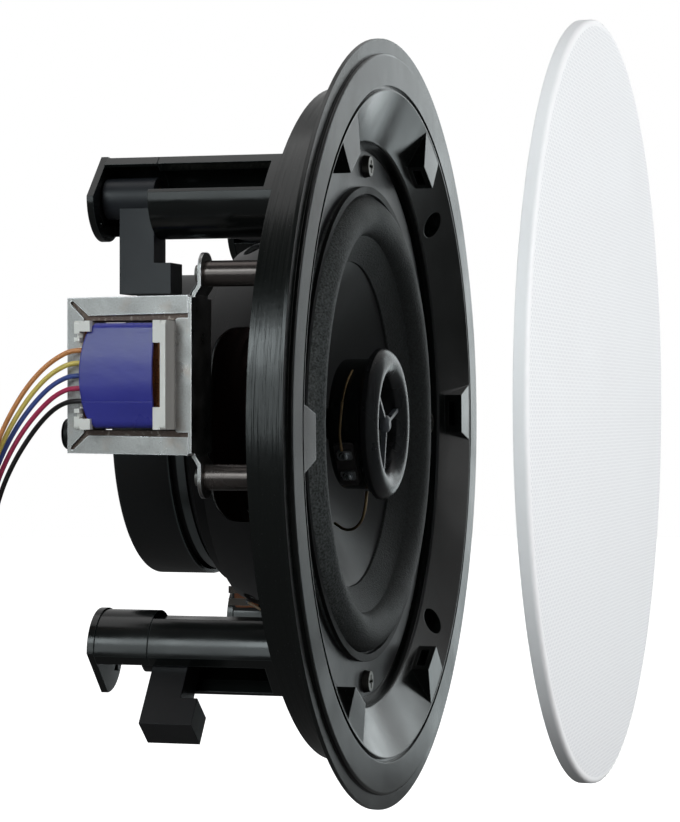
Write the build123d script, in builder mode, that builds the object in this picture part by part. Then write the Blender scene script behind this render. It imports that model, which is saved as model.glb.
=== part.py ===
from build123d import *

import os
from math import cos, hypot, pi, radians, sin

# A two-way coaxial in-wall speaker with a line transformer and a press-on round grille.
# It faces -Y and +Z is up. The origin is the centre of the flange's seating face,
# the face that lies against the wall. Lengths are in millimetres.
# Depths are measured backwards from the front ring's face, and y_at() turns one into a Y.

# Flange, front ring and wall cut-out
FLANGE_STEP = 4.4
FLANGE_THICK = 2.5
RING_OVERLAP = 9.9
LEDGE_DEPTH = 1.3
RING_ROUND = 0.8
GROOVE_STEP = 1.0
GROOVE_WIDTH = 1.3
GROOVE_DEPTH = 1.0
BODY_STEP = 1.3
BODY_DEPTH = 16.0
WALL = 2.5

# Funnel, lip and the driver's seat
FUNNEL_WIDE = 15.0
LIP_STEP = 2.4
LIP_DEPTH = 7.5
LIP_ROUND = 1.1
FRAME_DEPTH = 10.0
FRAME_SHEET = 1.2
SEAT_THICK = 3.0
SEAT_HOLE_STEP = 2.0
RIB_COUNT = 24
RIB_THICK = 1.6
RIB_DEPTH = 13.0

# Six flat pads on the funnel, each with a pocket for a magnet or clip
PAD_COUNT = 6
PAD_TURN = 2.0
PAD_STEP = 3.1
PAD_WIDE = 19.0
PAD_NARROW = 12.5
PAD_FALL = 0.15
POCKET_WIDE = 8.0
POCKET_FRONT = 2.0
POCKET_TALL = 2.6
POCKET_LONG = 4.5

# Grille, shown pulled off in front of the flange
GRILLE_FIT = 0.3
GRILLE_SHEET = 0.6
GRILLE_RIM = 4.0
GRILLE_FORWARD = 60.8
GRILLE_LIFT = 6.7
RIM_ROUND = 1.2

# Bass driver: basket, suspension, cone and motor
FRAME_WALL_STEP = 0.8
DRIVER_HEAD_R = 3.5
DRIVER_HEAD_CLEAR = 2.8
DRIVER_SCREW_EDGE = 4.7
BASKET_KNEE_STEP = 1.6
BASKET_KNEE_DEPTH = 15.0
LEDGE_OUTER_R = 53.0
LEDGE_WIDE = 4.8
SPIDER_DEPTH = 44.0
CUP_STEP = 0.8
CUP_DEPTH = 49.5
PLATE_SEAT_STEP = 3.9
PLATE_SEAT_DEPTH = 52.1
WINDOW_LONG = 24.0
WINDOW_WIDE = 56.0
WINDOW_ROUND = 8.0
WINDOW_DEPTH = 30.0
ROLL_OUTER_R = 69.2
ROLL_INNER_R = 57.2
ROLL_CREST_DEPTH = 4.7
FOAM = 0.8
FOAM_RIM_WIDE = 2.8
GASKET_STEP = 0.6
GASKET_THICK = 1.2
GLUE_R = 49.4
CONE_NECK_R = 13.2
CONE_NECK_DEPTH = 35.2
CONE_PAPER = 0.6
FORMER_R = 12.9
FORMER_WALL = 0.2
FORMER_FRONT = 34.0
FORMER_BACK = 61.0
COIL_THICK = 0.6
COIL_FRONT = 51.5
COIL_BACK = 60.5
SPIDER_EDGE = 0.4
SPIDER_CLOTH = 0.4
SPIDER_WAVE = 1.1
SPIDER_WAVES = 5
PLATE_EDGE = 1.1
TOP_PLATE_THICK = 2.6
GAP_R = 14.2
POLE_R = 12.0
MAGNET_R = 43.0
MAGNET_LONG = 14.0
BACK_PLATE_THICK = 3.9
COVER_R = 46.0
COVER_WALL = 1.2
COVER_FRONT = 57.7
COVER_FIT = 0.2

# Tweeter, on a post through the cone
BEZEL_R = 23.0
APERTURE_R = 14.6
BEZEL_CREST = 0.9
BEZEL_SIDE_DEPTH = 3.8
BEZEL_BACK = 6.2
THROAT_BACK = 8.2
HOUSING_R = 19.8
HOUSING_WALL = 1.8
HOUSING_BACK = 16.5
DOME_CREST = 5.6
DOME_R = 12.4
DOME_FILM = 0.3
TWEETER_MAGNET_R = 16.5
POST_R = 5.0
PLUG_HUB_R = 2.8
PLUG_DEPTH = 3.8
PLUG_LONG = 3.4
SPOKE_WIDE = 1.1
SPOKE_TALL = 1.6
SPOKE_TURN = 17.0
TAG_ANGLE = 215.0
TAG_BOARD_LONG = 15.0
TAG_BOARD_TALL = 6.0
TAG_BOARD_THICK = 1.0
TAG_BOARD_DEPTH = 11.0
TAG_SPACING = 7.4

# Four clamps
CLAMP_COUNT = 4
CLAMP_INSET = 10.2
ACCESS_R = 4.1
TOWER_R = 11.8
TOWER_BORE_R = 7.8
TOWER_FLAT = 9.8
TOWER_FLOOR = 3.0
TOWER_END = 53.0
CAP_SEAM = 0.2
CAP_BORE_R = 9.3
CAP_END = 71.0
CAP_PLATE = 2.0
CAP_PLATE_R = 12.2
CAP_PLATE_FLAT = 8.7
TRIM_STEP = 1.0
SCREW_R = 2.0
SCREW_FIT = 0.08
SCREW_HEAD_R = 3.7
SCREW_HEAD_TALL = 2.4
SCREW_TIP = 72.5
FACE_GAP = 0.1
DOG_HUB_R = 5.9
DOG_FRONT = 53.3
DOG_HUB_LONG = 15.4
DOG_ARM_LONG = 27.5
DOG_ARM_THICK = 10.0
DOG_ARM_DEEP = 10.4
DOG_FOOT_FROM = 18.7
DOG_FOOT_PROUD = 5.0
DOG_SLOT_GAP = 0.5
NUT_R = 3.3
NUT_LONG = 8.0
DOG_OUT = 6.0
DOG_PARKED = 135.0
SET_CLAMP = 2
SET_TRAVEL = 11.5

# Line transformer on two standoff posts
CORE_INSET = 12.7
CORE_STACK = 15.6
CORE_TALL = 41.2
CORE_LONG = 34.4
CORE_FRONT = 36.3
CORE_Z = 13.8
YOKE = 3.7
WINDOW_HALF = 15.2
LEG_HALF = 6.5
FRAME_STEEL = 1.0
FRAME_SPLAY = 0.5
LIP_WIDE = 5.0
REAR_LIP_WIDE = 4.4
MITRE_GAP = 0.25
EAR_WIDE = 11.0
EAR_REACH = 34.2
EAR_STEP = 1.6
FLAP_LONG = 3.7
FLAP_HALF = 15.8
POST_Z = 28.3
STANDOFF_R = 3.65
STUD_R = 1.5
STUD_LONG = 3.5
POST_SCREW_R = 1.45
BOBBIN_WALL = 0.9
FLANGE_SHEET = 1.6
FRONT_BLOCK = (2.6, 2.1, 6.2)
REAR_BLOCK = (2.1, 3.1, 3.0)
COIL_HALF = 14.4
TAPE = 0.5
BUMPER_R = 4.4
BUMPER_LONG = 7.5
BUMPER_Z = -16.3

# Speaker terminal strip under the basket
STRIP_X = 10.0
STRIP_LONG = 7.6
STRIP_TALL = 7.2
STRIP_BACK = 2.0
STRIP_DROP = 1.5
STRIP_THICK = 1.6
STRIP_BORDER = 1.2

# Five bare-ended leads
LEAD_R = 0.7
LEAD_TIP_R = 0.4
LEAD_TIP_LONG = 6.0


def y_at(depth):
    """Y of a plane that lies this far behind the front ring's face."""
    return depth - FLANGE_THICK


def front_view(depth):
    """A sketch plane seen from the front, with X to the right and Z up."""
    return Plane.XZ.offset(-y_at(depth))


def ring_points(points):
    """(radius, depth) pairs as points of the half section in the XY plane."""
    return [(radius, y_at(depth)) for radius, depth in points]


def save(part, name):
    """Label a finished piece and write its STEP file."""
    part.label = name
    export_step(part, f"parts/{name}.step")


os.makedirs("parts", exist_ok=True)

# The driver's roll sets the radii around it, outwards to the flange
frame_wall_r = ROLL_OUTER_R + FRAME_WALL_STEP
basket_knee_r = frame_wall_r - BASKET_KNEE_STEP
seat_hole_r = frame_wall_r + SEAT_HOLE_STEP
foam_rim_r = ROLL_OUTER_R + FOAM_RIM_WIDE
driver_screw_r = foam_rim_r + DRIVER_HEAD_CLEAR + DRIVER_HEAD_R
frame_r = driver_screw_r + DRIVER_SCREW_EDGE
lip_r = frame_r + LIP_STEP
pad_inner_r = lip_r + PAD_STEP
funnel_r = lip_r + FUNNEL_WIDE
groove_r = funnel_r + GROOVE_STEP
body_r = funnel_r + BODY_STEP
clamp_ring_r = body_r - CLAMP_INSET
trim_r = body_r - TRIM_STEP
core_near_x = CORE_INSET - body_r
ring_r = body_r + RING_OVERLAP
flange_r = ring_r + FLANGE_STEP

# The spider's ledge sets the cup behind it and the motor's seat
ledge_inner_r = LEDGE_OUTER_R - LEDGE_WIDE
spider_r = LEDGE_OUTER_R - SPIDER_EDGE
cup_r = ledge_inner_r - CUP_STEP
plate_seat_r = cup_r - PLATE_SEAT_STEP
top_plate_r = plate_seat_r + PLATE_EDGE

seat_depth = FRAME_DEPTH + FRAME_SHEET
funnel_slope = LIP_DEPTH / (funnel_r - lip_r)
channel_inner_r = lip_r + WALL
channel_outer_r = body_r - WALL


def funnel_back(radius):
    """Depth of the funnel's rear surface at a radius."""
    return (funnel_r - radius) * funnel_slope + WALL * hypot(1, funnel_slope)


post_x = core_near_x + CORE_STACK / 2
post_places = [(post_x, CORE_Z + POST_Z), (post_x, CORE_Z - POST_Z)]

# Baffle: flange, front ring, funnel, driver seat, wall, ribs and bosses in one moulding
with BuildPart() as baffle:
    with BuildSketch(Plane.XY) as shell_section:
        with BuildLine():
            Polyline(
                *ring_points(
                    [
                        (0, 0),
                        (ring_r, 0),
                        (ring_r, LEDGE_DEPTH),
                        (flange_r, LEDGE_DEPTH),
                        (flange_r, FLANGE_THICK),
                        (body_r, FLANGE_THICK),
                        (body_r, BODY_DEPTH),
                        (channel_outer_r, BODY_DEPTH),
                        (channel_outer_r, funnel_back(channel_outer_r)),
                        (channel_inner_r, funnel_back(channel_inner_r)),
                        (channel_inner_r, seat_depth + SEAT_THICK),
                        (0, seat_depth + SEAT_THICK),
                    ]
                ),
                close=True,
            )
        make_face()
        front_corner = shell_section.vertices().sort_by_distance((ring_r, y_at(0)))[0]
        fillet(front_corner, radius=RING_ROUND)
    revolve(axis=Axis.Y)

    # Ribs across the open channel behind the funnel
    with BuildSketch(front_view(funnel_back(channel_outer_r))):
        with PolarLocations((channel_inner_r + channel_outer_r) / 2, RIB_COUNT):
            Rectangle(channel_outer_r - channel_inner_r + WALL, RIB_THICK)
    extrude(amount=-(RIB_DEPTH - funnel_back(channel_outer_r)))

    # Bosses that carry the four clamp towers and the two transformer posts
    with BuildSketch(front_view(LEDGE_DEPTH)):
        with PolarLocations(clamp_ring_r, CLAMP_COUNT, start_angle=45):
            Circle(TOWER_R)
        with Locations(*post_places):
            Circle(STANDOFF_R + WALL / 2)
        Circle(trim_r, mode=Mode.INTERSECT)
    extrude(amount=-(BODY_DEPTH - LEDGE_DEPTH))

    # Bosses for the driver's screws, behind the seat
    with BuildSketch(front_view(seat_depth)):
        with PolarLocations(driver_screw_r, 4):
            Circle(3.4)
    extrude(amount=-10)

    # Hollow front: funnel, rounded lip, driver seat and its hole
    with BuildSketch(Plane.XY) as hollow_section:
        with BuildLine():
            Polyline(
                *ring_points(
                    [
                        (0, -1),
                        (funnel_r, -1),
                        (funnel_r, 0),
                        (lip_r, LIP_DEPTH),
                        (lip_r, seat_depth),
                        (seat_hole_r, seat_depth),
                        (seat_hole_r, BODY_DEPTH + seat_depth),
                        (0, BODY_DEPTH + seat_depth),
                    ]
                ),
                close=True,
            )
        make_face()
        lip_corner = hollow_section.vertices().sort_by_distance((lip_r, y_at(LIP_DEPTH)))[0]
        fillet(lip_corner, radius=LIP_ROUND)
    revolve(axis=Axis.Y, mode=Mode.SUBTRACT)

    # Thin groove round the front ring
    with BuildSketch(Plane.XY):
        with Locations((groove_r, y_at(GROOVE_DEPTH / 2 - 0.5))):
            Rectangle(GROOVE_WIDTH, GROOVE_DEPTH + 1)
    revolve(axis=Axis.Y, mode=Mode.SUBTRACT)

    # Access bores for the clamp screws, pilot holes for the driver screws and the posts' studs
    with BuildSketch(front_view(-1)):
        with PolarLocations(clamp_ring_r, CLAMP_COUNT, start_angle=45):
            Circle(ACCESS_R)
    extrude(amount=-(BODY_DEPTH + 2), mode=Mode.SUBTRACT)
    with BuildSketch(front_view(seat_depth)):
        with PolarLocations(driver_screw_r, 4):
            Circle(1.75)
    extrude(amount=-8.5, mode=Mode.SUBTRACT)
    with BuildSketch(front_view(BODY_DEPTH)):
        with Locations(*post_places):
            Circle(STUD_R)
    extrude(amount=STUD_LONG, mode=Mode.SUBTRACT)

pad_outer_r = groove_r - GROOVE_WIDTH / 2 - 0.2
pad_back = funnel_back(pad_inner_r) - WALL / 2

# The six pads are cut to the funnel's own wall, so nothing shows behind it
with BuildPart() as pads:
    with BuildSketch(front_view(PAD_FALL)):
        with PolarLocations(pad_inner_r, PAD_COUNT, start_angle=PAD_TURN):
            Polygon(
                (0, -PAD_NARROW / 2),
                (pad_outer_r - pad_inner_r, -PAD_WIDE / 2),
                (pad_outer_r - pad_inner_r, PAD_WIDE / 2),
                (0, PAD_NARROW / 2),
                align=None,
            )
    extrude(amount=-pad_back)
    with BuildSketch(Plane.XY):
        with BuildLine():
            Polyline(
                *ring_points(
                    [
                        (pad_inner_r - 2, -1),
                        (pad_outer_r, -1),
                        (pad_outer_r, WALL / 2),
                        (pad_inner_r - 2, funnel_back(pad_inner_r - 2) - WALL / 2),
                    ]
                ),
                close=True,
            )
        make_face()
    revolve(axis=Axis.Y, mode=Mode.INTERSECT)
    with BuildSketch(front_view(POCKET_FRONT)):
        with PolarLocations(pad_inner_r, PAD_COUNT, start_angle=PAD_TURN):
            Rectangle(2 * POCKET_LONG, POCKET_WIDE)
    extrude(amount=-POCKET_TALL, mode=Mode.SUBTRACT)

with BuildPart() as whole_baffle:
    add(baffle.part)
    add(pads.part)
save(whole_baffle.part, "baffle")

# Grille: a shallow steel lid whose rim slips over the front ring
rim_inner_r = ring_r + GRILLE_FIT
rim_outer_r = rim_inner_r + GRILLE_SHEET
grille_back = LEDGE_DEPTH
grille_front = grille_back - GRILLE_RIM
with BuildPart() as grille:
    with BuildSketch(Plane.XY) as lid_section:
        with BuildLine():
            Polyline(
                *ring_points(
                    [
                        (0, grille_front),
                        (rim_outer_r, grille_front),
                        (rim_outer_r, grille_back),
                        (rim_inner_r, grille_back),
                        (rim_inner_r, grille_front + GRILLE_SHEET),
                        (0, grille_front + GRILLE_SHEET),
                    ]
                ),
                close=True,
            )
        make_face()
        rim_corner = lid_section.vertices().sort_by_distance((rim_outer_r, y_at(grille_front)))[0]
        fillet(rim_corner, radius=RIM_ROUND)
    revolve(axis=Axis.Y)
grille_away = Location((0, -GRILLE_FORWARD, GRILLE_LIFT))
save(grille.part.moved(grille_away), "grille")

# Basket: one pressed sheet from the mounting rim down to the magnet's seat
cone_slope = (CONE_NECK_DEPTH - FRAME_DEPTH) / (ROLL_INNER_R + 0.4 - CONE_NECK_R)
with BuildPart() as basket:
    with BuildSketch(Plane.XY):
        with BuildLine():
            inner_line = Polyline(
                *ring_points(
                    [
                        (frame_r, FRAME_DEPTH),
                        (frame_wall_r, FRAME_DEPTH),
                        (basket_knee_r, BASKET_KNEE_DEPTH),
                        (LEDGE_OUTER_R, SPIDER_DEPTH),
                        (ledge_inner_r, SPIDER_DEPTH),
                        (cup_r, CUP_DEPTH),
                        (plate_seat_r, PLATE_SEAT_DEPTH),
                        (GAP_R + 1, PLATE_SEAT_DEPTH),
                    ]
                )
            )
            offset(inner_line, amount=FRAME_SHEET, side=Side.RIGHT, kind=Kind.INTERSECTION)
        make_face()
    revolve(axis=Axis.Y)
    for window_angle in (0, 90, 180, 270):
        outward = (cos(radians(window_angle)), 0, sin(radians(window_angle)))
        window_plane = Plane(origin=(0, y_at(WINDOW_DEPTH), 0), x_dir=(0, 1, 0), z_dir=outward)
        with BuildSketch(window_plane.offset(ledge_inner_r / 2)):
            RectangleRounded(WINDOW_LONG, WINDOW_WIDE, WINDOW_ROUND)
        extrude(amount=frame_r, mode=Mode.SUBTRACT)
    with BuildSketch(front_view(0)):
        with PolarLocations(driver_screw_r, 4):
            Circle(1.9)
    extrude(amount=-(seat_depth + 1), mode=Mode.SUBTRACT)
    # Folded tab for the terminal strip, on the cup's lower side
    strip_z = -(cup_r + FRAME_SHEET + STRIP_DROP + STRIP_TALL / 2)
    strip_depth = SPIDER_DEPTH + FRAME_SHEET + STRIP_BACK + STRIP_LONG / 2
    with BuildSketch(Plane.YZ.offset(STRIP_X + STRIP_THICK)):
        with Locations((y_at(strip_depth), strip_z)):
            RectangleRounded(STRIP_LONG + 2 * STRIP_BORDER, STRIP_TALL + 2 * STRIP_BORDER, 1.0)
        tab_long = strip_depth - SPIDER_DEPTH
        with Locations((y_at(SPIDER_DEPTH + tab_long / 2), -(ledge_inner_r + LEDGE_OUTER_R) / 2)):
            Rectangle(tab_long, LEDGE_WIDE - 1)
    extrude(amount=FRAME_SHEET)
save(basket.part, "basket")

# Surround: one foam half roll with a rim on the frame and a skirt glued to the cone
roll_middle_r = (ROLL_OUTER_R + ROLL_INNER_R) / 2


def cone_front(radius):
    """Depth of the cone's front surface at a radius."""
    return CONE_NECK_DEPTH - (radius - CONE_NECK_R) * cone_slope


foam_front = FRAME_DEPTH - FOAM
roll_under_outer_r = ROLL_OUTER_R - FOAM
roll_under_inner_r = ROLL_INNER_R + FOAM
with BuildPart() as surround:
    with BuildSketch(Plane.XY):
        with BuildLine():
            skirt_top = (ROLL_INNER_R, y_at(cone_front(ROLL_INNER_R) - FOAM))
            rim_top = (ROLL_OUTER_R, y_at(foam_front))
            under_outer = (roll_under_outer_r, y_at(foam_front))
            under_inner = (roll_under_inner_r, y_at(cone_front(roll_under_inner_r)))
            ThreePointArc(skirt_top, (roll_middle_r, y_at(ROLL_CREST_DEPTH)), rim_top)
            Polyline(
                rim_top,
                (foam_rim_r, y_at(foam_front)),
                (foam_rim_r, y_at(FRAME_DEPTH)),
                (roll_under_outer_r, y_at(FRAME_DEPTH)),
                under_outer,
            )
            ThreePointArc(under_outer, (roll_middle_r, y_at(ROLL_CREST_DEPTH + FOAM)), under_inner)
            Polyline(
                under_inner,
                (GLUE_R, y_at(cone_front(GLUE_R))),
                (GLUE_R, y_at(cone_front(GLUE_R) - FOAM)),
                skirt_top,
            )
        make_face()
    revolve(axis=Axis.Y)
save(surround.part, "surround")

with BuildPart() as gasket:
    with BuildSketch(front_view(foam_front)):
        Circle(foam_rim_r)
        Circle(ROLL_OUTER_R + GASKET_STEP, mode=Mode.SUBTRACT)
    extrude(amount=GASKET_THICK)
save(gasket.part, "gasket")

# Cone, its former and the voice coil move together
with BuildPart() as cone:
    with BuildSketch(Plane.XY):
        with BuildLine():
            Polyline(
                *ring_points(
                    [
                        (CONE_NECK_R, CONE_NECK_DEPTH),
                        (ROLL_INNER_R + 0.3, cone_front(ROLL_INNER_R + 0.3)),
                        (ROLL_INNER_R + 0.3, cone_front(ROLL_INNER_R + 0.3) + CONE_PAPER),
                        (CONE_NECK_R, CONE_NECK_DEPTH + CONE_PAPER),
                    ]
                ),
                close=True,
            )
        make_face()
    revolve(axis=Axis.Y)
save(cone.part, "cone")

with BuildPart() as voice_coil_former:
    with BuildSketch(front_view(FORMER_FRONT)):
        Circle(FORMER_R)
        Circle(FORMER_R - FORMER_WALL, mode=Mode.SUBTRACT)
    extrude(amount=-(FORMER_BACK - FORMER_FRONT))
    with BuildSketch(front_view(CONE_NECK_DEPTH)):
        Circle(CONE_NECK_R)
        Circle(FORMER_R - FORMER_WALL, mode=Mode.SUBTRACT)
    extrude(amount=-CONE_PAPER)
save(voice_coil_former.part, "voice_coil_former")

with BuildPart() as voice_coil:
    with BuildSketch(front_view(COIL_FRONT)):
        Circle(FORMER_R + COIL_THICK)
        Circle(FORMER_R, mode=Mode.SUBTRACT)
    extrude(amount=-(COIL_BACK - COIL_FRONT))
save(voice_coil.part, "voice_coil")

# Spider: a corrugated cloth disc between the former and the basket's ledge
wave_long = (ledge_inner_r - FORMER_R - 4) / (2 * SPIDER_WAVES)
spider_front = SPIDER_DEPTH - SPIDER_CLOTH
wave_points = [
    (FORMER_R + 2 + wave_long * k, spider_front + SPIDER_WAVE * ((-1) ** k if 0 < k < 2 * SPIDER_WAVES else 0))
    for k in range(2 * SPIDER_WAVES + 1)
]
with BuildPart() as spider:
    with BuildSketch(Plane.XY):
        with BuildLine():
            front_wave = [(FORMER_R, spider_front), *wave_points, (spider_r, spider_front)]
            back_wave = [(radius, depth + SPIDER_CLOTH) for radius, depth in reversed(front_wave)]
            Polyline(*ring_points([*front_wave, *back_wave]), close=True)
        make_face()
    revolve(axis=Axis.Y)
save(spider.part, "spider")

# Motor: top plate, ferrite ring, back plate with its pole, and the cover over the magnet
plate_front = PLATE_SEAT_DEPTH + FRAME_SHEET
magnet_front = plate_front + TOP_PLATE_THICK
back_plate_front = magnet_front + MAGNET_LONG
cover_floor = back_plate_front + BACK_PLATE_THICK
with BuildPart() as top_plate:
    with BuildSketch(front_view(plate_front)):
        Circle(top_plate_r)
        Circle(GAP_R, mode=Mode.SUBTRACT)
    extrude(amount=-TOP_PLATE_THICK)
save(top_plate.part, "top_plate")

with BuildPart() as magnet_ring:
    with BuildSketch(front_view(magnet_front)):
        Circle(MAGNET_R)
        Circle(2 * GAP_R, mode=Mode.SUBTRACT)
    extrude(amount=-MAGNET_LONG)
save(magnet_ring.part, "magnet_ring")

with BuildPart() as back_plate:
    with BuildSketch(front_view(back_plate_front)):
        Circle(COVER_R - COVER_WALL - COVER_FIT)
    extrude(amount=-BACK_PLATE_THICK)
    with BuildSketch(front_view(plate_front)):
        Circle(POLE_R)
    extrude(amount=-(back_plate_front - plate_front))
save(back_plate.part, "back_plate_and_pole")

with BuildPart() as magnet_cover:
    with BuildSketch(front_view(COVER_FRONT)):
        Circle(COVER_R)
    extrude(amount=-(cover_floor + COVER_WALL - COVER_FRONT))
    fillet(magnet_cover.faces().sort_by(Axis.Y)[-1].edges(), radius=1.0)
    with BuildSketch(front_view(COVER_FRONT)):
        Circle(COVER_R - COVER_WALL)
    extrude(amount=-(cover_floor - COVER_FRONT), mode=Mode.SUBTRACT)
save(magnet_cover.part, "magnet_cover")

# Tweeter: post, housing, motor, dome, rounded bezel and phase plug
with BuildPart() as tweeter_post:
    with BuildSketch(front_view(HOUSING_BACK)):
        Circle(POST_R)
    extrude(amount=-(plate_front - HOUSING_BACK))
save(tweeter_post.part, "tweeter_post")

housing_floor = HOUSING_BACK - HOUSING_WALL
with BuildPart() as tweeter_housing:
    with BuildSketch(front_view(BEZEL_BACK)):
        Circle(HOUSING_R)
    extrude(amount=-(HOUSING_BACK - BEZEL_BACK))
    fillet(tweeter_housing.faces().sort_by(Axis.Y)[-1].edges(), radius=1.5)
    tag_normal = (cos(radians(TAG_ANGLE)), 0, sin(radians(TAG_ANGLE)))
    tag_plane = Plane(origin=(0, y_at(TAG_BOARD_DEPTH), 0), x_dir=(0, 1, 0), z_dir=tag_normal)
    with BuildSketch(tag_plane.offset(HOUSING_R / 2)):
        Rectangle(TAG_BOARD_TALL, TAG_BOARD_LONG - 2)
    extrude(amount=HOUSING_R / 2 + 0.4)
    with BuildSketch(front_view(BEZEL_BACK)):
        Circle(HOUSING_R - HOUSING_WALL)
    extrude(amount=-(housing_floor - BEZEL_BACK), mode=Mode.SUBTRACT)
save(tweeter_housing.part, "tweeter_housing")

dome_back = THROAT_BACK + DOME_FILM
with BuildPart() as tweeter_magnet:
    with BuildSketch(front_view(dome_back)):
        Circle(TWEETER_MAGNET_R)
    extrude(amount=-(housing_floor - dome_back))
save(tweeter_magnet.part, "tweeter_magnet")

with BuildPart() as tweeter_dome:
    with BuildSketch(Plane.XY):
        with BuildLine():
            dome_tall = THROAT_BACK - DOME_CREST
            dome_round = (DOME_R**2 + dome_tall**2) / (2 * dome_tall)
            middle_fall = dome_round - (dome_round**2 - (DOME_R / 2) ** 2) ** 0.5
            dome_mid = (DOME_R / 2, y_at(DOME_CREST + middle_fall))
            inner_mid = (DOME_R / 2, y_at(DOME_CREST + middle_fall + DOME_FILM))
            ThreePointArc((0, y_at(DOME_CREST)), dome_mid, (DOME_R, y_at(THROAT_BACK)))
            Polyline(
                (DOME_R, y_at(THROAT_BACK)),
                (TWEETER_MAGNET_R, y_at(THROAT_BACK)),
                (TWEETER_MAGNET_R, y_at(dome_back)),
                (DOME_R, y_at(dome_back)),
            )
            ThreePointArc((DOME_R, y_at(dome_back)), inner_mid, (0, y_at(DOME_CREST + DOME_FILM)))
            Line((0, y_at(DOME_CREST + DOME_FILM)), (0, y_at(DOME_CREST)))
        make_face()
    revolve(axis=Axis.Y)
save(tweeter_dome.part, "tweeter_dome")

bezel_middle_r = (BEZEL_R + APERTURE_R) / 2
with BuildPart() as tweeter_bezel:
    with BuildSketch(Plane.XY):
        with BuildLine():
            side_top = (BEZEL_R, y_at(BEZEL_SIDE_DEPTH))
            throat_top = (APERTURE_R, y_at(BEZEL_SIDE_DEPTH))
            ThreePointArc(side_top, (bezel_middle_r, y_at(BEZEL_CREST)), throat_top)
            Polyline(
                throat_top,
                (APERTURE_R - 1, y_at(THROAT_BACK)),
                (TWEETER_MAGNET_R, y_at(THROAT_BACK)),
                (HOUSING_R - HOUSING_WALL, y_at(BEZEL_BACK)),
                (BEZEL_R - 1, y_at(BEZEL_BACK)),
                (BEZEL_R, y_at(BEZEL_BACK - 1)),
                side_top,
            )
        make_face()
    revolve(axis=Axis.Y)
save(tweeter_bezel.part, "tweeter_bezel")

with BuildPart() as phase_plug:
    with BuildSketch(Plane.XY):
        with BuildLine():
            hub_front = (PLUG_HUB_R / 5, y_at(PLUG_DEPTH - PLUG_LONG / 2))
            hub_back = (PLUG_HUB_R / 5, y_at(PLUG_DEPTH + PLUG_LONG / 2))
            ThreePointArc(hub_front, (PLUG_HUB_R, y_at(PLUG_DEPTH)), hub_back)
            Polyline(
                hub_back,
                (0, y_at(PLUG_DEPTH + PLUG_LONG / 2)),
                (0, y_at(PLUG_DEPTH - PLUG_LONG / 2)),
                hub_front,
            )
        make_face()
    revolve(axis=Axis.Y)
    with BuildSketch(front_view(PLUG_DEPTH - SPOKE_TALL / 2)):
        with PolarLocations((APERTURE_R - 0.2) / 2, 3, start_angle=SPOKE_TURN):
            Rectangle(APERTURE_R - 0.2, SPOKE_WIDE)
    extrude(amount=-SPOKE_TALL)
save(phase_plug.part, "phase_plug")

with BuildPart() as tag_board:
    with BuildSketch(tag_plane.offset(HOUSING_R + 0.4)):
        RectangleRounded(TAG_BOARD_TALL, TAG_BOARD_LONG, 1)
    extrude(amount=TAG_BOARD_THICK)
save(tag_board.part, "tweeter_tag_board")

tag_base = HOUSING_R + 0.4 + TAG_BOARD_THICK
with BuildPart() as tweeter_tags:
    with BuildSketch(tag_plane.offset(tag_base)):
        with Locations((0, -TAG_SPACING / 2), (0, TAG_SPACING / 2)):
            RectangleRounded(4.6, 3.2, 0.8)
    extrude(amount=0.5)
    with BuildSketch(tag_plane.offset(tag_base + 0.5)):
        with Locations((0, -TAG_SPACING / 2), (0, TAG_SPACING / 2)):
            Circle(1.2)
    extrude(amount=0.7)
save(tweeter_tags.part, "tweeter_tags")


def wire(points, radius, first_plane=None):
    """A round wire along straight runs joined by arcs, each as large as its runs allow."""
    corners = []
    for before, here, after in zip(points, points[1:], points[2:]):
        run_in = Vector(*here) - Vector(*before)
        run_out = Vector(*after) - Vector(*here)
        turn = radians(run_in.get_angle(run_out))
        shorter = min(run_in.length, run_out.length)
        corners.append(0.45 * shorter * cos(turn / 2) / sin(turn / 2))
    with BuildPart() as made:
        with BuildLine() as route:
            FilletPolyline(*points, radius=corners)
        start = Vector(*points[0])
        heading = Vector(*points[1]) - start
        with BuildSketch(Plane(origin=start, z_dir=heading)):
            Circle(radius)
        sweep(path=route.wires()[0])
    return made, corners, route.wires()[0].length


def around_housing(angle, radius, depth):
    """A point beside the tweeter's housing."""
    return (radius * cos(radians(angle)), y_at(depth), radius * sin(radians(angle)))


# Two thin tweeter leads: one hugs the housing, one loops down to the cone's back
upper_lead_points = [
    around_housing(128, HOUSING_R + 0.6, 10.5),
    around_housing(144, HOUSING_R + 1.0, 11.2),
    around_housing(160, HOUSING_R + 1.3, 11.6),
    around_housing(176, HOUSING_R + 1.7, 11.8),
    around_housing(188, HOUSING_R + 3.1, 11.8),
    around_housing(200, HOUSING_R + 3.7, 11.2),
]
lower_lead_points = [
    (0.5, y_at(9.5), -HOUSING_R - 0.6),
    (0.0, y_at(9.8), -25.2),
    (1.5, y_at(11.2), -29.4),
    (4.4, y_at(14.4), -32.2),
    (8.4, y_at(18.6), -32.8),
    (12.2, y_at(22.9), -30.8),
]
tweeter_lead_upper, _, _ = wire(upper_lead_points, 0.45)
tweeter_lead_lower, _, _ = wire(lower_lead_points, 0.45)
with BuildPart() as tweeter_leads:
    add(tweeter_lead_upper.part)
    add(tweeter_lead_lower.part)
save(tweeter_leads.part, "tweeter_leads")

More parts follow.
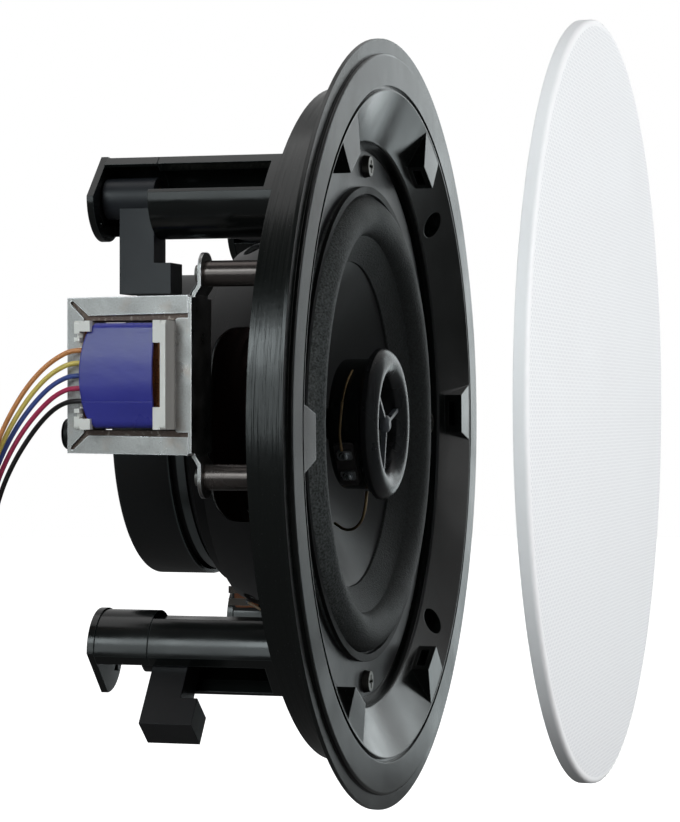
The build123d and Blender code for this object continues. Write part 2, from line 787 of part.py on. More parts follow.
# Four cross-head screws that hold the driver to the baffle
with BuildPart() as driver_screws:
    with BuildSketch(front_view(FRAME_DEPTH)):
        with PolarLocations(driver_screw_r, 4):
            Circle(DRIVER_HEAD_R)
    extrude(amount=2.0, taper=12)
    with BuildSketch(front_view(FRAME_DEPTH)):
        with PolarLocations(driver_screw_r, 4):
            Circle(1.7)
    extrude(amount=-9.0)
    with BuildSketch(front_view(FRAME_DEPTH - 2.0)):
        with PolarLocations(driver_screw_r, 4):
            Rectangle(4.0, 0.9)
            Rectangle(0.9, 4.0)
    extrude(amount=-1.2, mode=Mode.SUBTRACT)
save(driver_screws.part, "driver_screws")

# Speaker terminal strip on the basket's tab, with its two tags
with BuildPart() as terminal_strip:
    with BuildSketch(Plane.YZ.offset(STRIP_X)):
        with Locations((y_at(strip_depth), strip_z)):
            RectangleRounded(STRIP_LONG, STRIP_TALL, 1.0)
    extrude(amount=STRIP_THICK)
save(terminal_strip.part, "terminal_strip")

with BuildPart() as terminal_tags:
    with BuildSketch(Plane.YZ.offset(STRIP_X)):
        with Locations(
            (y_at(strip_depth + 1.8), strip_z + 1.9),
            (y_at(strip_depth + 1.8), strip_z - 1.9),
        ):
            Rectangle(STRIP_LONG, 2.2)
    extrude(amount=-0.5)
save(terminal_tags.part, "terminal_tags")

# Tinsel leads run from the terminal strip through the lower window to the cone
tinsel_leads = []
for side in (-1, 1):
    tinsel_points = [
        (STRIP_X - 0.95, y_at(strip_depth - 1.0), strip_z + 1.9 * side),
        (STRIP_X - 1.2, y_at(strip_depth - 4.4), strip_z - 1.8 + 1.9 * side),
        (STRIP_X - 1.8, y_at(strip_depth - 9.0), strip_z - 3.6 + 1.9 * side),
        (STRIP_X - 2.6, y_at(strip_depth - 14.0), strip_z - 2.4 + 1.9 * side),
        (STRIP_X - 3.2, y_at(strip_depth - 19.0), strip_z + 2.6 + 1.9 * side),
        (STRIP_X - 3.6, y_at(strip_depth - 23.6), strip_z + 9.0 + 1.9 * side),
        (STRIP_X - 3.8, y_at(strip_depth - 27.4), strip_z + 16.0 + 1.9 * side),
    ]
    tinsel_lead, _, _ = wire(tinsel_points, 0.45)
    tinsel_leads.append(tinsel_lead)
with BuildPart() as tinsel_pair:
    for tinsel_lead in tinsel_leads:
        add(tinsel_lead.part)
save(tinsel_pair.part, "tinsel_leads")

# Clamps: each is a tower with a dog inside, drawn forwards by a long screw
clamp_angles = [45 + 360 / CLAMP_COUNT * k for k in range(CLAMP_COUNT)]
slot_wide = DOG_ARM_THICK + 2 * DOG_SLOT_GAP


def clamp_plane(angle, depth, turn=0):
    """A plane on a clamp's axis, seen from the front, with its x axis at turn from outwards."""
    heading = radians(angle + turn)
    centre = (clamp_ring_r * cos(radians(angle)), y_at(depth), clamp_ring_r * sin(radians(angle)))
    return Plane(origin=centre, x_dir=(cos(heading), 0, sin(heading)), z_dir=(0, -1, 0))


def pie(from_angle, to_angle, radius, steps=4):
    """Corner points of a wedge that covers a stretch of a tower's wall."""
    angles = [radians(from_angle + (to_angle - from_angle) * k / steps) for k in range(steps + 1)]
    return [(0, 0)] + [(radius * cos(a), radius * sin(a)) for a in angles]


def make_tower(angle):
    """Slotted tube with a floor behind the screw's head; the dog's arm slides in the slot."""
    with BuildPart() as tower:
        with BuildSketch(clamp_plane(angle, BODY_DEPTH)):
            Circle(TOWER_R)
        extrude(amount=-(TOWER_END - BODY_DEPTH))
        with BuildSketch(clamp_plane(angle, BODY_DEPTH, turn=-135)):
            with Locations((TOWER_FLAT + TOWER_R / 2, 0)):
                Rectangle(TOWER_R, 3 * TOWER_R)
        extrude(amount=-(TOWER_END - BODY_DEPTH), mode=Mode.SUBTRACT)
        with BuildSketch(clamp_plane(angle, BODY_DEPTH + TOWER_FLOOR)):
            Circle(TOWER_BORE_R)
        extrude(amount=-(TOWER_END - BODY_DEPTH), mode=Mode.SUBTRACT)
        with BuildSketch(clamp_plane(angle, BODY_DEPTH + TOWER_FLOOR, turn=DOG_OUT)):
            with Locations((TOWER_R, 0)):
                Rectangle(2 * TOWER_R, slot_wide)
        extrude(amount=-(TOWER_END - BODY_DEPTH), mode=Mode.SUBTRACT)
        with BuildSketch(clamp_plane(angle, BODY_DEPTH)):
            Circle(SCREW_R + SCREW_FIT)
        extrude(amount=-TOWER_FLOOR, mode=Mode.SUBTRACT)
        with BuildSketch(front_view(BODY_DEPTH)):
            Circle(trim_r)
        extrude(amount=-(TOWER_END - BODY_DEPTH), mode=Mode.INTERSECT)
    return tower.part


def make_cap(angle):
    """Half-open end cap: a curved wall behind the dog and a plate that steadies the screw."""
    wall_from = TOWER_END + CAP_SEAM
    plate_from = CAP_END - CAP_PLATE
    with BuildPart() as cap:
        with BuildSketch(clamp_plane(angle, wall_from)):
            Circle(TOWER_R)
            Circle(CAP_BORE_R, mode=Mode.SUBTRACT)
        extrude(amount=-(plate_from - wall_from))
        for turn in (DOG_OUT, DOG_PARKED):
            with BuildSketch(clamp_plane(angle, wall_from, turn=turn)):
                with Locations((TOWER_R, 0)):
                    Rectangle(2 * TOWER_R, slot_wide)
            extrude(amount=-(plate_from - wall_from), mode=Mode.SUBTRACT)
        with BuildSketch(clamp_plane(angle, wall_from)):
            with BuildLine():
                Polyline(*pie(DOG_OUT, DOG_PARKED, 2 * TOWER_R), close=True)
            make_face()
        extrude(amount=-(plate_from - wall_from), mode=Mode.SUBTRACT)
        with BuildSketch(clamp_plane(angle, plate_from)):
            Circle(CAP_PLATE_R)
            with Locations((CAP_PLATE_FLAT + CAP_PLATE_R / 2, 0)):
                Rectangle(CAP_PLATE_R, 3 * CAP_PLATE_R, mode=Mode.SUBTRACT)
            Circle(SCREW_R + SCREW_FIT, mode=Mode.SUBTRACT)
            with Locations(Location((CAP_PLATE_R * 0.72 * cos(radians(97)), CAP_PLATE_R * 0.72 * sin(radians(97))))):
                RegularPolygon(2.2, 3, rotation=97, mode=Mode.SUBTRACT)
        extrude(amount=-CAP_PLATE)
        with BuildSketch(front_view(wall_from)):
            Circle(trim_r)
        extrude(amount=-(CAP_END - wall_from), mode=Mode.INTERSECT)
    return cap.part


def make_screw(angle):
    """Long pan-head clamp screw with a cross recess; its head sits on the tower's floor."""
    head_back = BODY_DEPTH - FACE_GAP
    with BuildPart() as screw:
        with BuildSketch(clamp_plane(angle, head_back)):
            Circle(SCREW_HEAD_R)
        extrude(amount=SCREW_HEAD_TALL)
        with BuildSketch(clamp_plane(angle, head_back)):
            Circle(SCREW_R)
        extrude(amount=-(SCREW_TIP - head_back))
        chamfer(screw.faces().sort_by(Axis.Y)[-1].edges(), length=0.8)
        with BuildSketch(clamp_plane(angle, head_back - SCREW_HEAD_TALL)):
            Rectangle(4.4, 1.0)
            Rectangle(1.0, 4.4)
        extrude(amount=-1.6, mode=Mode.SUBTRACT)
    return screw.part


def make_dog(angle, turn, drawn):
    """Swing-out dog: hub on the screw, arm, and a foot that presses on the wall board."""
    front = DOG_FRONT - drawn
    with BuildPart() as dog:
        with BuildSketch(clamp_plane(angle, front)):
            Circle(DOG_HUB_R)
        extrude(amount=-DOG_HUB_LONG)
        with BuildSketch(clamp_plane(angle, front, turn=turn)):
            with Locations((DOG_ARM_LONG / 2, 0)):
                Rectangle(DOG_ARM_LONG, DOG_ARM_THICK)
        extrude(amount=-DOG_ARM_DEEP)
        with BuildSketch(clamp_plane(angle, front - DOG_FOOT_PROUD, turn=turn)):
            with Locations(((DOG_FOOT_FROM + DOG_ARM_LONG) / 2, 0)):
                Rectangle(DOG_ARM_LONG - DOG_FOOT_FROM, DOG_ARM_THICK)
        extrude(amount=-(DOG_FOOT_PROUD + DOG_ARM_DEEP / 2))
        with BuildSketch(clamp_plane(angle, front)):
            Circle(SCREW_R + 0.35)
        extrude(amount=-DOG_HUB_LONG, mode=Mode.SUBTRACT)
        with BuildSketch(clamp_plane(angle, front)):
            RegularPolygon(NUT_R, 6)
        extrude(amount=-NUT_LONG, mode=Mode.SUBTRACT)
    return dog.part


def make_nut(angle, drawn):
    """Brass nut pressed into the dog's hub."""
    front = DOG_FRONT - drawn
    with BuildPart() as nut:
        with BuildSketch(clamp_plane(angle, front)):
            RegularPolygon(NUT_R, 6)
            Circle(SCREW_R + SCREW_FIT, mode=Mode.SUBTRACT)
        extrude(amount=-NUT_LONG)
    return nut.part


for number, clamp_angle in enumerate(clamp_angles):
    is_set = number == SET_CLAMP
    dog_turn = DOG_OUT if is_set else DOG_PARKED
    dog_drawn = SET_TRAVEL if is_set else 0
    save(make_tower(clamp_angle), f"clamp_tower_{number + 1}")
    save(make_cap(clamp_angle), f"clamp_cap_{number + 1}")
    save(make_screw(clamp_angle), f"clamp_screw_{number + 1}")
    save(make_dog(clamp_angle, dog_turn, dog_drawn), f"clamp_dog_{number + 1}")
    save(make_nut(clamp_angle, dog_drawn), f"clamp_nut_{number + 1}")

# Line transformer: core, steel frame, strap with ears, bobbin, winding and tape
core_back = CORE_FRONT + CORE_LONG
core_middle_x = core_near_x + CORE_STACK / 2
core_half = CORE_TALL / 2


def side_view(x):
    """A sketch plane at an X, with Y backwards along its x axis and Z up."""
    return Plane.YZ.offset(x)


with BuildPart() as core:
    with BuildSketch(side_view(core_near_x)):
        with Locations((y_at(CORE_FRONT + CORE_LONG / 2), CORE_Z)):
            Rectangle(CORE_LONG, CORE_TALL)
        window_long = CORE_LONG - 2 * YOKE
        window_tall = WINDOW_HALF - LEG_HALF
        for up in (-1, 1):
            window_z = CORE_Z + up * (LEG_HALF + window_tall / 2)
            with Locations((y_at(CORE_FRONT + CORE_LONG / 2), window_z)):
                Rectangle(window_long, window_tall, mode=Mode.SUBTRACT)
    extrude(amount=CORE_STACK)
save(core.part, "transformer_core")

frame_near = core_near_x - FRAME_STEEL
frame_far = core_near_x + CORE_STACK
with BuildPart() as transformer_frame:
    with BuildSketch(side_view(frame_near)):
        with BuildLine():
            Polyline(
                (y_at(CORE_FRONT), CORE_Z + core_half + FRAME_STEEL + FRAME_SPLAY),
                (y_at(core_back + FRAME_STEEL), CORE_Z + core_half + FRAME_STEEL),
                (y_at(core_back + FRAME_STEEL), CORE_Z - core_half - FRAME_STEEL),
                (y_at(CORE_FRONT), CORE_Z - core_half - FRAME_STEEL - FRAME_SPLAY),
                (y_at(CORE_FRONT), CORE_Z - core_half - FRAME_SPLAY),
                (y_at(core_back), CORE_Z - core_half),
                (y_at(core_back), CORE_Z + core_half),
                (y_at(CORE_FRONT), CORE_Z + core_half + FRAME_SPLAY),
                close=True,
            )
        make_face()
    extrude(amount=CORE_STACK + 2 * FRAME_STEEL)
    # Mitred lips folded in over both faces of the stack
    for lip_x in (frame_near, frame_far):
        with BuildSketch(side_view(lip_x)):
            for up in (-1, 1):
                outer_z = CORE_Z + up * (core_half + FRAME_STEEL / 2)
                inner_z = outer_z - up * (LIP_WIDE - FRAME_STEEL / 2)
                splay = up * FRAME_SPLAY
                with BuildLine():
                    Polyline(
                        (y_at(CORE_FRONT), outer_z + splay),
                        (y_at(core_back - MITRE_GAP), outer_z),
                        (y_at(core_back - LIP_WIDE - MITRE_GAP), inner_z),
                        (y_at(CORE_FRONT), inner_z + splay),
                        close=True,
                    )
                make_face()
            rear_half = core_half - MITRE_GAP
            rear_lip_y = y_at(core_back - REAR_LIP_WIDE + FRAME_STEEL / 2)
            with BuildLine():
                Polyline(
                    (y_at(core_back + FRAME_STEEL / 2), CORE_Z + rear_half),
                    (y_at(core_back + FRAME_STEEL / 2), CORE_Z - rear_half),
                    (rear_lip_y, CORE_Z - rear_half + REAR_LIP_WIDE),
                    (rear_lip_y, CORE_Z + rear_half - REAR_LIP_WIDE),
                    close=True,
                )
            make_face()
        extrude(amount=FRAME_STEEL)
save(transformer_frame.part, "transformer_frame")

strap_front = CORE_FRONT - FRAME_STEEL
ear_root_z = core_half + FRAME_STEEL
with BuildPart() as strap:
    with BuildSketch(side_view(frame_near)):
        with Locations((y_at(strap_front + FRAME_STEEL / 2), CORE_Z)):
            Rectangle(FRAME_STEEL, 2 * ear_root_z)
    extrude(amount=CORE_STACK + 2 * FRAME_STEEL)
    with BuildSketch(side_view(post_x - EAR_WIDE / 2)):
        for up in (-1, 1):
            with BuildLine():
                ear_line = Polyline(
                    (y_at(strap_front), CORE_Z + up * (ear_root_z - 1)),
                    (y_at(strap_front), CORE_Z + up * (ear_root_z + 0.6)),
                    (y_at(strap_front - EAR_STEP), CORE_Z + up * (ear_root_z + 3.0)),
                    (y_at(strap_front - EAR_STEP), CORE_Z + up * EAR_REACH),
                    (y_at(strap_front - EAR_STEP + FRAME_STEEL), CORE_Z + up * EAR_REACH),
                    (y_at(strap_front - EAR_STEP + FRAME_STEEL), CORE_Z + up * (ear_root_z + 3.4)),
                    (y_at(strap_front + FRAME_STEEL), CORE_Z + up * (ear_root_z + 1.0)),
                    (y_at(strap_front + FRAME_STEEL), CORE_Z + up * (ear_root_z - 1)),
                    close=True,
                )
            make_face()
    extrude(amount=EAR_WIDE)
    ear_tips = strap.edges().filter_by(Axis.Y).filter_by(
        lambda edge: abs(edge.center().Z - CORE_Z) > EAR_REACH - 0.1
    )
    fillet(ear_tips, radius=EAR_WIDE / 2 - 0.6)
    # Side flaps folded back over the stack, between the frame's lips
    for flap_x in (frame_near, frame_far):
        with BuildSketch(side_view(flap_x)):
            with Locations((y_at(strap_front + (FLAP_LONG + FRAME_STEEL) / 2), CORE_Z)):
                RectangleRounded(FLAP_LONG + FRAME_STEEL, 2 * FLAP_HALF, 0.9)
        extrude(amount=FRAME_STEEL)
    with BuildSketch(front_view(0)):
        with Locations(*post_places):
            Circle(POST_SCREW_R + 0.25)
    extrude(amount=-core_back, mode=Mode.SUBTRACT)
save(strap.part, "transformer_strap")

ear_front = strap_front - EAR_STEP
with BuildPart() as standoffs:
    with BuildSketch(front_view(BODY_DEPTH)):
        with Locations(*post_places):
            Circle(STANDOFF_R)
    extrude(amount=-(ear_front - BODY_DEPTH))
    with BuildSketch(front_view(BODY_DEPTH)):
        with Locations(*post_places):
            Circle(STUD_R)
    extrude(amount=STUD_LONG)
    with BuildSketch(front_view(ear_front)):
        with Locations(*post_places):
            Circle(POST_SCREW_R)
    extrude(amount=7, mode=Mode.SUBTRACT)
save(standoffs.part, "standoff_posts")

with BuildPart() as post_screws:
    with BuildSketch(front_view(ear_front + FRAME_STEEL)):
        with Locations(*post_places):
            Circle(2.8)
    extrude(amount=-1.9, taper=10)
    with BuildSketch(front_view(ear_front + FRAME_STEEL)):
        with Locations(*post_places):
            Circle(POST_SCREW_R)
    extrude(amount=6)
save(post_screws.part, "post_screws")

window_front = CORE_FRONT + YOKE
window_back = core_back - YOKE
bobbin_front = window_front + 0.2
bobbin_back = window_back - 0.2
bobbin_half_x = CORE_STACK / 2 + (WINDOW_HALF - LEG_HALF)
flange_half_z = WINDOW_HALF - 0.2
with BuildPart() as bobbin:
    for flange_from in (bobbin_front, bobbin_back - FLANGE_SHEET):
        with BuildSketch(front_view(flange_from)):
            with Locations((core_middle_x, CORE_Z)):
                RectangleRounded(2 * bobbin_half_x, 2 * flange_half_z, 1.2)
        extrude(amount=-FLANGE_SHEET)
    with BuildSketch(front_view(bobbin_front)):
        with Locations((core_middle_x, CORE_Z)):
            Rectangle(CORE_STACK + 2 * BOBBIN_WALL, 2 * (LEG_HALF + BOBBIN_WALL))
    extrude(amount=-(bobbin_back - bobbin_front))
    # Corner blocks on the flanges' near edges: wide, long and tall
    front_block_depth = bobbin_front + FLANGE_SHEET + FRONT_BLOCK[1] / 2
    rear_block_depth = bobbin_back - FLANGE_SHEET - REAR_BLOCK[1] / 2
    for block_depth, (wide, long, tall) in (
        (front_block_depth, FRONT_BLOCK),
        (rear_block_depth, REAR_BLOCK),
    ):
        with BuildSketch(side_view(core_middle_x - bobbin_half_x)):
            for up in (-1, 1):
                with Locations((y_at(block_depth), CORE_Z + up * (flange_half_z - tall / 2))):
                    Rectangle(long, tall)
        extrude(amount=wide)
    # The stack's centre leg passes through, and a notch in the rear flange lets the leads out
    with BuildSketch(front_view(bobbin_front)):
        with Locations((core_middle_x, CORE_Z)):
            Rectangle(CORE_STACK + 0.2, 2 * LEG_HALF + 0.2)
    extrude(amount=-(bobbin_back - bobbin_front), mode=Mode.SUBTRACT)
    with BuildSketch(front_view(bobbin_back - FLANGE_SHEET)):
        with Locations((core_middle_x - bobbin_half_x, CORE_Z)):
            Rectangle(9.0, 18.4)
            Rectangle(5.0, 22.8)
            Rectangle(5.0, 20.8, mode=Mode.SUBTRACT)
            Rectangle(9.0, 18.4)
    extrude(amount=-FLANGE_SHEET, mode=Mode.SUBTRACT)
save(bobbin.part, "transformer_bobbin")

coil_front = bobbin_front + FLANGE_SHEET
coil_back = bobbin_back - FLANGE_SHEET
coil_half_x = bobbin_half_x - 3.2
with BuildPart() as winding:
    with BuildSketch(front_view(coil_front)):
        with Locations((core_middle_x, CORE_Z)):
            RectangleRounded(2 * coil_half_x, 2 * (COIL_HALF - 1.6), 3.2)
            Rectangle(
                CORE_STACK + 2 * BOBBIN_WALL,
                2 * (LEG_HALF + BOBBIN_WALL),
                mode=Mode.SUBTRACT,
            )
    extrude(amount=-(coil_back - coil_front))
save(winding.part, "transformer_winding")

tape_front = coil_front + FRONT_BLOCK[1] + 0.1
with BuildPart() as tape:
    with BuildSketch(front_view(tape_front)):
        with Locations((core_middle_x, CORE_Z)):
            RectangleRounded(2 * (coil_half_x + 1.6), 2 * COIL_HALF, 4.8)
            RectangleRounded(2 * coil_half_x, 2 * (COIL_HALF - 1.6), 3.2, mode=Mode.SUBTRACT)
    extrude(amount=-(coil_back - tape_front))
save(tape.part, "transformer_tape")

with BuildPart() as bumper:
    with BuildSketch(front_view(core_back + FRAME_STEEL)):
        with Locations((core_middle_x, CORE_Z + BUMPER_Z)):
            Circle(BUMPER_R)
    extrude(amount=-BUMPER_LONG)
    fillet(bumper.faces().sort_by(Axis.Y)[-1].edges(), radius=1.5)
save(bumper.part, "frame_bumper")

# Five leads leave the rear flange's notch, bend down and hang behind the object
lead_x = core_middle_x - coil_half_x - 0.8
LEAD_ROUTES = {
    "lead_orange": [
        (0.0, 65.2, 20.7),
        (0.0, 67.5, 20.7),
        (-0.4, 70.6, 19.8),
        (-1.0, 75.6, 16.5),
        (-1.6, 80.4, 11.4),
        (-2.2, 84.6, 5.0),
        (-2.6, 88.4, -2.4),
        (-2.8, 91.6, -11.0),
        (-2.9, 93.6, -21.0),
        (-2.9, 94.6, -34.0),
        (-2.7, 94.9, -54.0),
        (-2.4, 94.6, -80.0),
        (-2.1, 94.9, -108.0),
    ],
    "lead_yellow": [
        (0.0, 65.2, 17.2),
        (0.0, 67.5, 17.2),
        (-0.2, 70.4, 16.5),
        (-0.4, 75.0, 13.8),
        (-0.6, 79.6, 9.2),
        (-0.7, 84.0, 3.2),
        (-0.9, 88.2, -4.0),
        (-1.0, 91.8, -12.6),
        (-1.1, 94.2, -22.6),
        (-1.2, 95.4, -35.0),
        (-1.0, 95.8, -54.0),
        (-0.6, 95.5, -78.0),
        (-0.5, 95.8, -103.0),
    ],
    "lead_blue": [
        (0.0, 65.2, 13.7),
        (0.0, 67.5, 13.7),
        (0.2, 70.2, 13.2),
        (0.6, 74.6, 11.0),
        (0.9, 79.2, 6.9),
        (1.0, 83.8, 1.4),
        (1.0, 88.2, -5.6),
        (1.0, 92.0, -14.2),
        (0.9, 94.6, -24.2),
        (0.8, 95.9, -36.5),
        (0.8, 96.3, -55.0),
        (1.1, 96.0, -79.0),
        (1.3, 96.3, -106.0),
    ],
    "lead_red": [
        (0.0, 65.2, 10.2),
        (0.0, 67.5, 10.2),
        (0.4, 70.0, 9.9),
        (1.4, 74.2, 8.0),
        (2.3, 78.6, 4.4),
        (2.8, 83.2, -0.6),
        (3.0, 87.8, -7.4),
        (3.0, 91.8, -15.8),
        (2.9, 94.6, -25.8),
        (2.8, 96.0, -38.0),
        (2.7, 96.5, -56.0),
        (2.9, 96.2, -79.0),
        (3.2, 96.5, -104.0),
    ],
    "lead_black": [
        (0.0, 65.2, 6.7),
        (0.0, 67.5, 6.7),
        (0.6, 70.0, 6.4),
        (2.0, 74.0, 4.8),
        (3.4, 78.2, 1.6),
        (4.4, 82.6, -3.2),
        (4.9, 87.2, -9.8),
        (5.0, 91.2, -17.8),
        (4.9, 94.0, -27.6),
        (4.7, 95.4, -39.6),
        (4.6, 95.9, -57.0),
        (4.8, 95.6, -80.0),
        (5.1, 95.9, -106.0),
    ],
}
tips = []
for lead_name, route in LEAD_ROUTES.items():
    lead_points = [(lead_x + across, y_at(depth), z) for across, depth, z in route]
    lead, bends, lead_length = wire(lead_points, LEAD_R)
    swept = lead.part.volume / (pi * LEAD_R**2)
    smallest = min(bends)
    print(f"{lead_name}: {lead_length:.1f} long, {swept:.1f} by volume, smallest bend {smallest:.1f}")
    save(lead.part, lead_name)
    heading = Vector(*lead_points[-1]) - Vector(*lead_points[-2])
    with BuildPart() as tip:
        with BuildSketch(Plane(origin=lead_points[-1], z_dir=heading)):
            Circle(LEAD_TIP_R)
        extrude(amount=LEAD_TIP_LONG)
    tips.append(tip)
with BuildPart() as lead_tips:
    for tip in tips:
        add(tip.part)
save(lead_tips.part, "lead_tips")
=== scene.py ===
# %% [markdown]
# This lesson dresses a round two-way in-wall speaker. The solids come from the CAD model and
# stay as they are. Here they get finishes, and a few small pieces that only matter to the eye
# are modelled by hand. The camera and the cords come first, then the finishes, the modelled
# pieces and the light.

# %% Load the frame and keep its size
import math

import bpy
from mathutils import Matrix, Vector


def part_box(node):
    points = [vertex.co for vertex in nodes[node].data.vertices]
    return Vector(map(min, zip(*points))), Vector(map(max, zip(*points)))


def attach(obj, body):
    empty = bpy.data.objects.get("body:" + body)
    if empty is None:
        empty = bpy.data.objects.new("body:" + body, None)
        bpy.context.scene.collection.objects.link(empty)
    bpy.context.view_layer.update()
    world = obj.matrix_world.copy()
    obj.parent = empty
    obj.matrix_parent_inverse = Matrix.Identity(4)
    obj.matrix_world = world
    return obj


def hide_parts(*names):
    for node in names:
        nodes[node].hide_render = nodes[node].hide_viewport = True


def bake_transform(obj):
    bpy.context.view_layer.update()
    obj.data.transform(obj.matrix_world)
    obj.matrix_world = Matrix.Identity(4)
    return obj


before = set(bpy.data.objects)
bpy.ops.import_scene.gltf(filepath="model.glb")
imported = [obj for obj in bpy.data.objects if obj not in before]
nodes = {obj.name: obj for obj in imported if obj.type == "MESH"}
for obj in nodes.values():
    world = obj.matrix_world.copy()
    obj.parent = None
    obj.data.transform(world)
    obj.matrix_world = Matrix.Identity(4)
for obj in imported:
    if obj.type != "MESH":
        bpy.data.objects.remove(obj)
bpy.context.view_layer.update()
MM = 0.001

# %% [markdown]
# The camera stands at the speaker's left side and a little in front, level with its middle.
# A long lens keeps the flange's circle close to a plain ellipse. The distance and the lens
# were worked out from the ellipse of the flange and the depth of the clamps. Depths are
# counted from the flange's front face, which lies one flange's thickness in front of the
# frame's origin.

# %% Camera at the photograph's place
FLANGE_THICK = 2.5
CAMERA_LENS = 119.56
CAMERA_PLACE = (-802.5, -204.5, 3.94)
VIEW_LINE = (0.9637, 0.2670, 0.0)


def frame_point(x, depth, z):
    """A point in metres from one in mm whose depth starts at the flange's front face."""
    return x * MM, (depth - FLANGE_THICK) * MM, z * MM


camera_data = bpy.data.cameras.new("side_camera")
camera_data.lens = CAMERA_LENS
camera_data.clip_end = 20
camera = bpy.data.objects.new("side_camera", camera_data)
bpy.context.collection.objects.link(camera)
camera.location = frame_point(*CAMERA_PLACE)
camera.rotation_euler = Vector(VIEW_LINE).to_track_quat("-Z", "Y").to_euler()
bpy.context.scene.camera = camera
print("camera", [round(v, 4) for v in camera.location])

# %% [markdown]
# Five thin leads leave the transformer's tape and hang down behind it. Real hook-up wire is
# springy where it is bent and straight where its own weight pulls it, so each lead is one
# NURBS curve led by a handful of control points. A route gives, in mm, the distance across
# from the leads' middle, the depth and the height. The points lie close together at the bend
# and far apart where the lead hangs straight.

# %% The leads' routes
LEAD_X = -95.3
LEAD_RADIUS = 0.7
LEADS = {
    "lead_orange": [
        (0.0, 65.2, 20.7), (0.0, 67.5, 20.7), (-0.4, 70.6, 19.8), (-1.0, 75.6, 16.5),
        (-1.6, 80.4, 11.4), (-2.2, 84.6, 5.0), (-2.6, 88.4, -2.4), (-2.8, 91.6, -11.0),
        (-2.9, 93.6, -21.0), (-2.9, 94.6, -34.0), (-2.7, 94.9, -54.0), (-2.4, 94.6, -80.0),
        (-2.1, 94.9, -108.0),
    ],
    "lead_yellow": [
        (0.0, 65.2, 17.2), (0.0, 67.5, 17.2), (-0.2, 70.4, 16.5), (-0.4, 75.0, 13.8),
        (-0.6, 79.6, 9.2), (-0.7, 84.0, 3.2), (-0.9, 88.2, -4.0), (-1.0, 91.8, -12.6),
        (-1.1, 94.2, -22.6), (-1.2, 95.4, -35.0), (-1.0, 95.8, -54.0), (-0.6, 95.5, -78.0),
        (-0.5, 95.8, -103.0),
    ],
    "lead_blue": [
        (0.0, 65.2, 13.7), (0.0, 67.5, 13.7), (0.2, 70.2, 13.2), (0.6, 74.6, 11.0),
        (0.9, 79.2, 6.9), (1.0, 83.8, 1.4), (1.0, 88.2, -5.6), (1.0, 92.0, -14.2),
        (0.9, 94.6, -24.2), (0.8, 95.9, -36.5), (0.8, 96.3, -55.0), (1.1, 96.0, -79.0),
        (1.3, 96.3, -106.0),
    ],
    "lead_red": [
        (0.0, 65.2, 10.2), (0.0, 67.5, 10.2), (0.4, 70.0, 9.9), (1.4, 74.2, 8.0),
        (2.3, 78.6, 4.4), (2.8, 83.2, -0.6), (3.0, 87.8, -7.4), (3.0, 91.8, -15.8),
        (2.9, 94.6, -25.8), (2.8, 96.0, -38.0), (2.7, 96.5, -56.0), (2.9, 96.2, -79.0),
        (3.2, 96.5, -104.0),
    ],
    "lead_black": [
        (0.0, 65.2, 6.7), (0.0, 67.5, 6.7), (0.6, 70.0, 6.4), (2.0, 74.0, 4.8),
        (3.4, 78.2, 1.6), (4.4, 82.6, -3.2), (4.9, 87.2, -9.8), (5.0, 91.2, -17.8),
        (4.9, 94.0, -27.6), (4.7, 95.4, -39.6), (4.6, 95.9, -57.0), (4.8, 95.6, -80.0),
        (5.1, 95.9, -106.0),
    ],
}
print("control points:", {name: len(route) for name, route in LEADS.items()})

# %% [markdown]
# A curve keeps a lead smooth at any distance and needs no faces of its own: its round bevel is
# the insulation. Each lead hangs from the speaker's body and hides the solid that it stands for.

# %% The five leads
def make_lead(name, route):
    """One hanging lead as an open NURBS curve with a round section."""
    curve = bpy.data.curves.new(f"{name}_insulation", "CURVE")
    curve.dimensions = "3D"
    # The section's radius is this depth times a point's radius. It is given at the points,
    # because a curve's box grows by the radius of its points.
    curve.bevel_depth = 1.0
    curve.bevel_resolution = 4
    curve.use_fill_caps = True
    spline = curve.splines.new("NURBS")
    spline.points.add(len(route) - 1)
    for point, (across, depth, z) in zip(spline.points, route):
        point.co = (*frame_point(LEAD_X + across, depth, z), 1)
        point.radius = LEAD_RADIUS * MM
    spline.order_u = 3
    spline.use_endpoint_u = True
    spline.resolution_u = 8
    lead = bpy.data.objects.new(f"{name}_insulation", curve)
    bpy.context.collection.objects.link(lead)
    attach(lead, "speaker")
    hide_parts(name)
    return lead


leads = {name: make_lead(name, route) for name, route in LEADS.items()}
print("leads:", ", ".join(leads))

# %% [markdown]
# Materials are graphs of nodes. Some steps come back in almost every finish: a node with a
# few numbers set, a band of values turned into another, a product, the length of a vector,
# and the three axes apart. Small helpers for them keep the finishes short enough to read.

# %% Helpers for nodes
def add_node(tree, kind, numbers=None, **options):
    """Add a shader node, set its options, and then its inputs by their names."""
    node = tree.nodes.new(f"ShaderNode{kind}")
    for option, value in options.items():
        setattr(node, option, value)
    for socket, number in (numbers or {}).items():
        node.inputs[socket].default_value = number
    return node


def map_range(tree, source, from_min, from_max, to_min=0.0, to_max=1.0):
    """Turn one band of a value into another, and keep it there."""
    ranged = add_node(tree, "MapRange", {"From Min": from_min, "From Max": from_max,
                                         "To Min": to_min, "To Max": to_max})
    tree.links.new(source, ranged.inputs["Value"])
    return ranged.outputs["Result"]


def times(tree, first, second):
    """The product of two values."""
    product = add_node(tree, "Math", operation="MULTIPLY")
    tree.links.new(first, product.inputs[0])
    tree.links.new(second, product.inputs[1])
    return product.outputs[0]


def length_of(tree, source):
    """The length of a vector."""
    length = add_node(tree, "VectorMath", operation="LENGTH")
    tree.links.new(source, length.inputs[0])
    return length.outputs["Value"]


def split_axes(parts):
    """The X, Y and Z of a finish's own coordinates."""
    split = add_node(parts["tree"], "SeparateXYZ")
    parts["tree"].links.new(parts["place"], split.inputs["Vector"])
    return split.outputs


print("node helpers ready")

